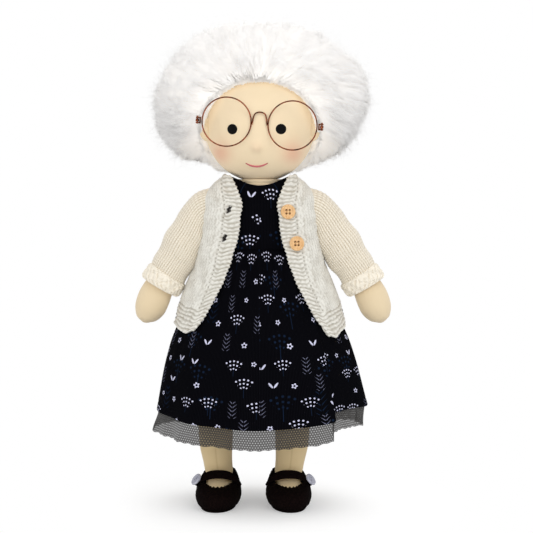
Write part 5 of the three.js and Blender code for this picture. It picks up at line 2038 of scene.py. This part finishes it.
def rolled_shares(
    count: int, size: float, start: bool, end: bool, radius: float = 0.0011
) -> tuple[Array, Array]:
    """Shares along a panel's side whose edges roll to the inside, and how far inside each lies.

    A rolled edge follows half a circle past the edge and then lies under the panel.

    Args:
        count: points on the open side.
        size: length of the side.
        start, end: which of its edges roll.
        radius: radius of the roll.

    Returns:
        Shares, which pass 0 and 1 a little, and insets.
    """
    angle = np.linspace(0.0, math.pi, 7)[1:]
    over = radius * np.sin(angle) / size
    inset = radius * (1.0 - np.cos(angle))
    under = np.array([0.003, 0.006]) / size
    share, inside = np.linspace(0.0, 1.0, count), np.zeros(count)
    if start:
        share = np.concatenate([under[::-1], -over[::-1], share])
        inside = np.concatenate([[2 * radius] * 2, inset[::-1], inside])
    if end:
        share = np.concatenate([share, 1.0 + over, 1.0 - under])
        inside = np.concatenate([inside, inset, [2 * radius] * 2])
    return share, inside


@dataclass
class Cardigan:
    """The open knitted cardigan: back, two fronts, sleeves, cuffs and wooden buttons."""

    dress: Dress
    line: ArmLine
    collar: float = 0.2742
    front_lengths: dict[Side, float] = field(default_factory=lambda: {Side.RIGHT: 0.1292, Side.LEFT: 0.1337})
    back_length: float = 0.1212
    close_drop: float = 0.0202
    close_half: float = 0.0148
    collar_half: float = 0.0228
    hem_half: float = 0.0548
    stitch_wide: float = 0.0027
    stitch_high: float = 0.0023
    band: float = 0.0115
    rope: float = 0.0062
    hem: float = 0.02
    armhole: float = 0.0155
    sleeve_radius: float = 0.0164
    sleeve_cap: float = 0.0036
    sleeve_fall: float = 0.0042
    sleeve_columns: int = 46
    cuff_radius: float = 0.0175
    wrist: float = 0.0128
    button_radius: float = 0.00605
    button_thick: float = 0.0026
    hole_out: float = 0.31
    button_drops: tuple[float, float] = (0.0299, 0.0557)
    button_insets: tuple[float, float] = (0.0076, 0.0106)
    hole_drops: tuple[float, float] = (0.0275, 0.0512)
    hole_insets: tuple[float, float] = (0.0088, 0.0098)
    edge_roll: float = 0.0017
    corner: float = 0.0045
    nape_dip: float = 0.005
    back_columns: int = 66
    front_points: int = 150
    ridge: float = 0.0034
    hem_ridge: float = 0.0032
    front_dip: float = 0.0014
    squareness: float = 1.3
    yoke: tuple[Point, ...] = (
        (0.16, 0.0695, 0.0295),
        (0.175, 0.065, 0.0295),
        (0.19, 0.059, 0.0295),
        (0.2, 0.0545, 0.0295),
        (0.214, 0.0505, 0.0298),
        (0.225, 0.0487, 0.0298),
        (0.237, 0.0481, 0.0298),
        (0.243, 0.0476, 0.0296),
        (0.2541, 0.0465, 0.028),
        (0.26, 0.0445, 0.0265),
        (0.264, 0.0415, 0.0256),
        (0.268, 0.0375, 0.0255),
        (0.2715, 0.0332, 0.0264),
        (0.274, 0.0307, 0.028),
        (0.2755, 0.0291, 0.0286),
        (0.279, 0.0284, 0.0286),
    )

    def section(self, z: Array) -> tuple[Array, Array]:
        """Half width and half depth at heights: the larger of the yoke's rows and the skirt's bell.

        The bell is never taken inside itself: the profile is the larger of the plain one and the
        same averaged over 14 mm of height.
        """
        level = np.linspace(0.13, 0.282, 305)
        table = np.array(self.yoke)
        dress = self.dress
        share = np.clip((dress.waist - level) / dress.skirt_length, 0.0, 1.0)
        out = lerp(0.0028, 0.0046, np.minimum(1.0, 4.0 * share)) + dress.full(share)
        result = []
        for k in (0, 1):
            skirt = lerp(dress.waist_half[k], dress.hem_half[k], share**dress.bell) + out
            skirt = np.where(level < dress.waist, skirt, 0.0)
            plain = np.maximum(skirt, np.interp(level, table[:, 0], table[:, k + 1]))
            mean = np.convolve(np.pad(plain, 14, mode="edge"), np.ones(29) / 29.0, mode="valid")
            low = level < dress.waist + 0.012
            soft = np.convolve(np.pad(plain, 4, mode="edge"), np.ones(9) / 9.0, mode="valid")
            result.append(np.interp(z, level, np.where(low, np.maximum(plain, mean), soft)))
        return result[0], result[1]

    def power(self, z: Array) -> Array:
        """Power of the oval: 2, an ellipse, at the hem and collar, and squarer over the chest."""
        return 2.0 + self.squareness * smooth(0.195, 0.215, z) * (1.0 - smooth(0.252, 0.266, z))

    def oval(self, turn: Array, z: Array) -> tuple[Array, Array]:
        """Points and level normals of the ovals |x / wide|^n + |y / deep|^n = 1, by angle and height."""
        wide, deep = self.section(z)
        power = self.power(z)
        sin, cos = np.sin(turn), np.cos(turn)
        x = bent(sin, 2.0 / power)
        y = -bent(cos, 2.0 / power)
        lean_x = bent(x, power - 1.0) / wide
        lean_y = bent(y, power - 1.0) / deep
        return vectors(wide * x, deep * y, z), unit(vectors(lean_x, lean_y, np.zeros_like(x)))

    def angle_at(self, half: Array, z: Array) -> Array:
        """The oval's angle where it lies a given distance to the side of the middle."""
        wide, _ = self.section(z)
        return np.arcsin(np.clip(half / wide, 0.0, 0.97) ** (self.power(z) / 2.0))

    def opening(self, down: Array) -> Array:
        """Half the gap between the front edges, by how far below the collar: it closes with a
        power of 1.5 and opens again with a square."""
        top = np.clip(1.0 - down / self.close_drop, 0.0, 1.2) ** 1.5
        length = self.front_lengths[Side.RIGHT]
        low = np.clip((down - self.close_drop) / (length - self.close_drop), 0.0, 1.1) ** 2
        above, below = self.collar_half - self.close_half, self.hem_half - self.close_half
        return self.close_half + above * top + below * low

    def lay(self, turn: Array, z: Array, inset: Array, height: Array) -> Array:
        """Points of the cardigan's oval, moved along its normal by a height less an inset."""
        points, normal = self.oval(turn, z)
        return points + (height - inset)[..., None] * normal

    def evened(self, turn: Array, z: Array, across: Array) -> Array:
        """Angles evenly spaced along each row: the row's shares of arc length, read the other way.

        Args:
            turn: angles, the same in each row.
            z: heights.
            across: the even shares.

        Returns:
            The new angles.
        """
        run = lengths(self.lay(turn, z, np.zeros_like(z), np.zeros_like(z)), 1)
        return np.stack([np.interp(across, row / row[-1], turn[0]) for row in run])

    def cable(self, across: Array, down: Array) -> Array:
        """Height of a flat cable from 0 to 1: two strands that cross, each a bell about a sine line."""
        swing = 0.0017 * np.sin(TURN * down / 0.0125)
        over = np.cos(TURN * down / 0.0125)
        first = bell(across - swing, 0.0015) * (0.85 + 0.15 * over)
        second = bell(across + swing, 0.0015) * (0.85 - 0.15 * over)
        return np.maximum(first, second)

    def front(self, side: Side) -> Patch:
        """A front: a garter band at its edge, eyelets and a flat cable beside it, and a garter hem."""
        reach = self.front_lengths[side]
        across, tuck_x = rolled_shares(self.front_points, 0.046, True, False)
        share, tuck_z = rolled_shares(320, reach, True, True)
        a, s = np.meshgrid(across, share)
        inset = np.maximum(tuck_x[None, :], tuck_z[:, None])
        inner = np.clip(a, 0.0, 1.0)
        corner = self.corner * (1.0 - smooth(0.0, 0.14, inner))
        down = s * (lerp(reach, self.back_length, inner**0.7) - corner)
        z = self.collar - self.front_dip * (1.0 - inner) * (1.0 - np.clip(s, 0.0, 1.0)) - down
        fall = np.clip(s, 0.0, 1.0) * reach
        ripple = 0.0004 * np.cos(TURN * fall / self.ridge) + 0.0006 * uneven(0.0 * fall, fall)
        edge = self.angle_at(self.opening(down) + self.edge_roll + ripple, z)
        turn = lerp(edge, math.pi / 2.0 + 0.012, a)
        base = self.lay(turn, z, inset, np.zeros_like(z))
        start = len(across) - self.front_points
        run = np.concatenate([np.zeros((len(share), start)), lengths(base[:, start:], 1)], axis=1)
        wander = uneven(run, fall)
        column = run / self.stitch_wide + 0.3 * wander
        row = fall / self.stitch_high + 0.35 * wander
        width = lerp(self.band, 0.75 * self.band, smooth(0.5 * reach, 0.9 * reach, fall)) + 0.0006 * wander
        band = 1.0 - smooth(-0.0006, 0.0006, run - width)
        middle = width + 0.0012 + 0.5 * self.rope
        rope = np.exp(-(((run - middle) / (0.6 * self.rope)) ** 6))
        body = np.clip(1.0 - band - rope, 0.0, 1.0)
        ridge = stitch_height(Stitch.GARTER, 0.5 * column, fall / self.ridge + 0.3 * wander)
        plain = stitch_height(Stitch.STOCKING, column, row)
        twist = self.cable(run - middle, fall + 0.002 * wander)
        knit = band * ridge + rope * (0.25 + 0.75 * twist) * (0.7 + 0.3 * plain) + body * (0.25 + 0.6 * plain)
        hem = smooth(reach - self.hem, reach - self.hem + 0.0015, fall)
        rib = stitch_height(Stitch.GARTER, 0.5 * column, (reach - fall) / self.hem_ridge + 0.25 * wander)
        knit = lerp(knit, rib, hem)
        line = bell(run - width - 0.0007, 0.0006) * (1.0 - hem)
        eyelet = line * smooth(0.25, 0.9, np.cos(TURN * fall / self.ridge + 1.2 * wander))
        hole = np.zeros_like(z)
        if side is Side.RIGHT:
            for drop, place in zip(self.hole_drops, self.hole_insets):
                dx, dz = run - place, fall - drop
                u, v = dx * 0.97 - dz * 0.24, dz * 0.97 + dx * 0.24
                hole = np.maximum(hole, 1.0 - smooth(0.7, 1.1, np.hypot(u / 0.0018, v / 0.0036)))
        soft = 0.0006 * uneven(1.3 * fall, 0.9 * run) * smooth(0.002, 0.01, run)
        height = 0.0008 * knit - 0.0005 * eyelet - 0.0022 * hole + soft
        points = self.lay(turn, z, inset, height - 0.0006)
        points[..., 0] *= side.value
        # The height mark carries the painted shade: eyelets are set lower to darken, and holes and eyelets
        # are marked for a painted dark inside.
        tint = np.clip(0.22 + 0.7 * knit + 0.12 * wander - 0.5 * eyelet, 0.0, 1.0)
        marks = {"height": tint, "hole": np.maximum(hole, 0.22 * eyelet)}
        uv = np.stack([run, fall], axis=-1)
        return Patch(points, uv=uv, marks=marks, keep=self.clear_of_arm(points), inside=(0.0, 0.0, 0.21))

    def clear_of_arm(self, points: Array) -> Array:
        """Which faces of a panel lie outside the armholes."""
        middle = 0.5 * (points[:-1, :-1] + points[1:, 1:])
        far = np.hypot(middle[..., 1], middle[..., 2] - SHOULDER + 0.0045)
        return (far > self.armhole) | (np.abs(middle[..., 0]) < 0.03)

    def back(self) -> Patch:
        """The back: stocking stitch from side seam to side seam, with garter at collar and hem."""
        share, tuck = rolled_shares(230, self.back_length, True, True)
        across = np.linspace(0.0, 1.0, 5 * self.back_columns + 1)
        a, s = np.meshgrid(across, share)
        turn = lerp(math.pi / 2.0 - 0.02, 1.5 * math.pi + 0.02, a)
        turn = self.evened(turn, self.collar - s * self.back_length, across)
        nape = self.nape_dip * np.maximum(-np.cos(turn), 0.0)
        z = self.collar - nape - s * (self.back_length - nape)
        fall = np.clip(s, 0.0, 1.0) * self.back_length
        inset = np.broadcast_to(tuck[:, None], z.shape)
        run = lengths(self.lay(turn, z, inset, np.zeros_like(z)), 1)
        wander = uneven(run, fall)
        column, row = self.back_columns * a, fall / self.stitch_high + 0.2 * wander
        knit = stitch_height(Stitch.STOCKING, column, row)
        rib = stitch_height(Stitch.GARTER, 0.5 * column, (self.back_length - fall) / self.hem_ridge)
        hem = smooth(self.back_length - self.hem, self.back_length - self.hem + 0.0015, fall)
        knit = lerp(knit, rib, hem + 1.0 - smooth(0.005, 0.0065, fall))
        points = self.lay(turn, z, inset, 0.0009 * knit - 0.0006)
        uv = np.stack([run, fall], axis=-1)
        marks = {"height": 0.3 + 0.66 * knit}
        return Patch(points, uv=uv, marks=marks, keep=self.clear_of_arm(points), inside=(0.0, 0.0, 0.21))

    def sleeve(self, side: Side) -> Patch:
        """Stocking stitch round the arm line, full over the shoulder, with soft wrinkles."""
        columns = self.sleeve_columns
        row = np.linspace(0.0, 6.2, 195)
        length = self.line.length(row)[:, None]
        angle = around(columns * 5)[None, :]
        wander = uneven(np.abs(angle - math.pi) * self.sleeve_radius, length)
        column = columns * angle / TURN + 0.12 * wander
        knit = stitch_height(Stitch.STOCKING, column, length / self.stitch_high + 0.25 * wander)
        wrinkle = np.sin(TURN * length / 0.021 + 1.4 * np.sin(angle + 0.6))
        crease = 0.0006 * wrinkle * smooth(0.01, 0.03, length)
        taper = 1.0 - 0.09 * smooth(0.02, 0.065, length)
        full = self.sleeve_cap * bell(row - 1.2, 1.5)[:, None] * np.maximum(np.sin(angle), 0.0) ** 1.5
        full = full + self.sleeve_fall * bell(row - 4.1, 1.5)[:, None] * np.maximum(np.sin(angle), 0.0)
        radius = self.sleeve_radius * taper + full - 0.0005 + 0.0011 * knit + crease
        points = self.line.shell(row, radius, angle, side)
        girth = np.linspace(0.0, 0.105, columns * 5 + 1)
        uv = cloth_map(girth, length.ravel())
        return Patch(points, ring=True, uv=uv, marks={"height": 0.04 + 0.96 * knit})

    def cuff(self, side: Side) -> Patch:
        """A thick turned band: a squarish section carried round the wrist, in moss stitch."""
        outer, inner = np.linspace(0.0, math.pi, 46), np.linspace(math.pi, TURN, 12)[1:-1]
        shape = np.concatenate([outer, inner])[:, None]
        angle = around(44 * 6)[None, :]
        row = (6.42 + 0.7 * bent(np.cos(shape), 0.7)).ravel()
        middle = 0.5 * (self.cuff_radius + self.wrist)
        half = 0.5 * (self.cuff_radius - self.wrist)
        radius = middle + half * bent(np.sin(shape), 0.5)
        way = shape / math.pi * 6.4
        wander = uneven(1.7 * np.abs(angle - math.pi) * self.cuff_radius, way * 0.006)
        knit = stitch_height(Stitch.MOSS, 48.0 * angle / TURN + 1.5 * wander, way + 1.1 * wander)
        knit = knit * smooth(0.05, 0.5, np.sin(shape))
        points = self.line.shell(row, radius - 0.0006 + 0.0014 * knit + 0.0006 * wander, angle, side)
        tint = np.broadcast_to(0.5 + 0.5 * knit, points.shape[:2]).copy()
        return Patch(points, ring=True, loop=True, marks={"height": tint})

    def seat(self, row: int) -> tuple[Array, Array]:
        """Where a button rests on the front, across a hollow if need be, and the cloth's normal."""
        drop = np.array(self.button_drops[row])
        z = self.collar - drop + 0.86 * self.button_radius * np.array([0.0, 1.0, -1.0])
        turn = float(self.angle_at(self.opening(drop) + self.button_insets[row], z[:1])[0])
        (spot, above, below), normals = self.oval(np.full(3, turn), z)
        slope = unit(above - below)
        normal = unit(normals[0] - np.dot(normals[0], slope) * slope)
        hollow = max(0.0, float(np.dot(0.5 * (above + below) - spot, normal)))
        return spot + (hollow + 0.0003) * normal, normal

    def button(self, row: int) -> Patch:
        """A turned wooden disc with a raised rim, a dished face and four sewing holes."""
        base, axis = self.seat(row)
        edge = [(0.4, 0.0), (0.8, 0.0), (0.93, 0.14), (1.0, 0.46), (0.985, 0.75)]
        edge += [(0.93, 0.96), (0.86, 1.0), (0.79, 0.93), (0.72, 0.72)]
        top = [(share, 0.66) for share in np.linspace(0.66, 0.02, 26)]
        profile = [(self.button_radius * r, self.button_thick * h) for r, h in edge + top]
        patch = turned(profile, base, axis, 72)
        return dimpled(patch, base, axis, 4, self.hole_out * self.button_radius, 0.00082, 0.0013)

    def button_stitches(self, row: int) -> list[Patch]:
        """Two short threads over the face, each between two holes."""
        base, axis = self.seat(row)
        first, second = basis(axis)
        out = self.hole_out * self.button_radius
        face = base + 0.66 * self.button_thick * axis
        share = np.linspace(-1.0, 1.0, 16)[:, None]
        arch = (0.0004 - 0.0011 * share**4) * axis
        side = out * math.sqrt(0.5)
        lines = [face + sign * side * first + share * side * second + arch for sign in (-1.0, 1.0)]
        return [tube(line, 0.00024, tuple(first), 8) for line in lines]

    def build(self, finishes: Finishes) -> None:
        """Makes the knitted pieces and buttons; the cuffs ride on the arms, the buttons and their threads on
        the torso, and the other pieces get their transforms baked.
        """
        back = make_piece("knit_back", [self.back()], finishes.front)
        settle(back, ["cardigan_back"])
        hang(back)
        for side in Side:
            word = side.word
            front = make_piece(f"knit_front_{word}", [self.front(side)], finishes.front)
            settle(front, [f"cardigan_front_{word}"])
            hang(front)
            sleeve = make_piece(f"knit_sleeve_{word}", [self.sleeve(side)], finishes.sleeve)
            settle(sleeve, [f"sleeve_{word}"])
            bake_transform(sleeve)
            cuff = make_piece(f"knit_cuff_{word}", [self.cuff(side)], finishes.sleeve)
            settle(cuff, [f"cuff_{word}"], f"arm_{word}")
        for row, word in enumerate(("upper", "lower")):
            button = make_piece(f"wood_button_{word}", [self.button(row)], finishes.wood)
            settle(button, [f"cardigan_button_{word}"], "torso")
            thread = make_piece(f"button_stitches_{word}", self.button_stitches(row), finishes.button_thread)
            settle(thread, (), "torso")


# Studio


@dataclass
class Studio:
    """A white floor, soft light and the camera."""

    camera_place: Point = (0.0055, -1.150, 0.265)
    camera_pitch: float = math.radians(3.31)
    lens: float = 93.7
    sky: float = 0.8
    mirrored_sky: float = 0.22
    floor_half: float = 6.0
    floor_glow: float = 0.3
    floor_fade: tuple[float, float] = (0.055, 0.17)
    floor_colour: tuple[float, ...] = (0.8, 0.8, 0.8, 1.0)
    lamps: tuple[tuple[str, Point, float, float], ...] = (
        ("key", (0.8, -1.3, 1.25), 1.1, 6.6),
        ("fill", (-0.7, -1.4, 0.3), 1.0, 4.2),
        ("top", (0.2, 0.35, 1.5), 1.0, 4.0),
    )

    @staticmethod
    def seen(shade: Shade) -> Any:
        """1 for rays that show a picture of the background, to the camera or through cloth."""
        path = shade.node("LightPath")
        return shade.most(path.outputs["Is Camera Ray"], path.outputs["Is Transmission Ray"])

    def world(self) -> None:
        """White where the camera sees it, dimmer in mirrors, and an even light elsewhere."""
        world = bpy.data.worlds.new("studio_white")
        world.use_nodes = True
        bpy.context.scene.world = world
        shade = Shade(world.node_tree)
        background = world.node_tree.nodes["Background"]
        background.inputs["Color"].default_value = (1.0, 1.0, 1.0, 1.0)
        glossy = shade.node("LightPath").outputs["Is Glossy Ray"]
        level = shade.span(glossy, 0.0, 1.0, self.sky, self.mirrored_sky)
        white = shade.most(level, self.seen(shade))
        shade.feed(background.inputs["Strength"], white)

    def floor(self) -> None:
        """A wide floor that keeps the doll's shadow and turns to plain white further out."""
        material = bpy.data.materials.new("studio_floor")
        material.use_nodes = True
        shade = Shade(material.node_tree)
        shader = material.node_tree.nodes["Principled BSDF"]
        shader.inputs["Roughness"].default_value = 1.0
        shader.inputs["Specular IOR Level"].default_value = 0.0
        shader.inputs["Emission Color"].default_value = (1.0, 1.0, 1.0, 1.0)
        x, y, _ = shade.split(shade.place())
        far = shade.reach(x, y)
        away = shade.span(far, *self.floor_fade, 0.0, 1.0)
        hidden = shade.times(away, self.seen(shade))
        shade.feed(shader.inputs["Base Color"], shade.mix(hidden, self.floor_colour, (0, 0, 0)))
        glow = shade.span(away, 0.0, 1.0, self.floor_glow, 1.0)
        shade.feed(shader.inputs["Emission Strength"], shade.times(glow, self.seen(shade)))
        side = self.floor_half * np.array([-1.0, 1.0])
        x_grid, y_grid = np.meshgrid(side, side)
        patch = Patch(vectors(x_grid, y_grid, 0.0), inside=(0.0, 0.0, -1.0))
        make_piece("studio_floor", [patch], material)

    def light(self) -> None:
        """Square soft lamps that look at the middle of the doll."""
        for name, place, size, power in self.lamps:
            lamp = bpy.data.lights.new(name, "AREA")
            lamp.size = size
            lamp.energy = power
            spot = bpy.data.objects.new(name, lamp)
            bpy.context.scene.collection.objects.link(spot)
            spot.location = place
            aim = Vector((0.0, 0.0, 0.22)) - spot.location
            spot.rotation_euler = aim.to_track_quat("-Z", "Y").to_euler()

    def camera(self) -> None:
        """A level lens, pitched a little down."""
        data = bpy.data.cameras.new("camera")
        data.lens = self.lens
        data.sensor_width = 36.0
        data.clip_start = 0.01
        camera = bpy.data.objects.new("camera", data)
        bpy.context.scene.collection.objects.link(camera)
        camera.location = self.camera_place
        camera.rotation_euler = (math.pi / 2.0 - self.camera_pitch, 0.0, 0.0)
        bpy.context.scene.camera = camera

    def build(self) -> None:
        """Sets up the whole stage."""
        bpy.context.scene.view_settings.view_transform = "Standard"
        self.camera()
        self.world()
        self.floor()
        self.light()


def main() -> None:
    """Loads the frame and dresses the doll piece by piece."""
    logging.basicConfig(level=logging.INFO, format="%(name)s %(message)s")
    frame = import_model()
    Studio().build()
    finishes = Finishes()
    line = ArmLine()
    dress = Dress()
    shoes = Shoes()
    Body(line, shoes).build(finishes)
    Head().build(finishes)
    Hair().build(finishes)
    Glasses().build(finishes, frame["nodes"])
    shoes.build(finishes)
    dress.build(finishes)
    Cardigan(dress, line).build(finishes)


if __name__ == "__main__":
    main()
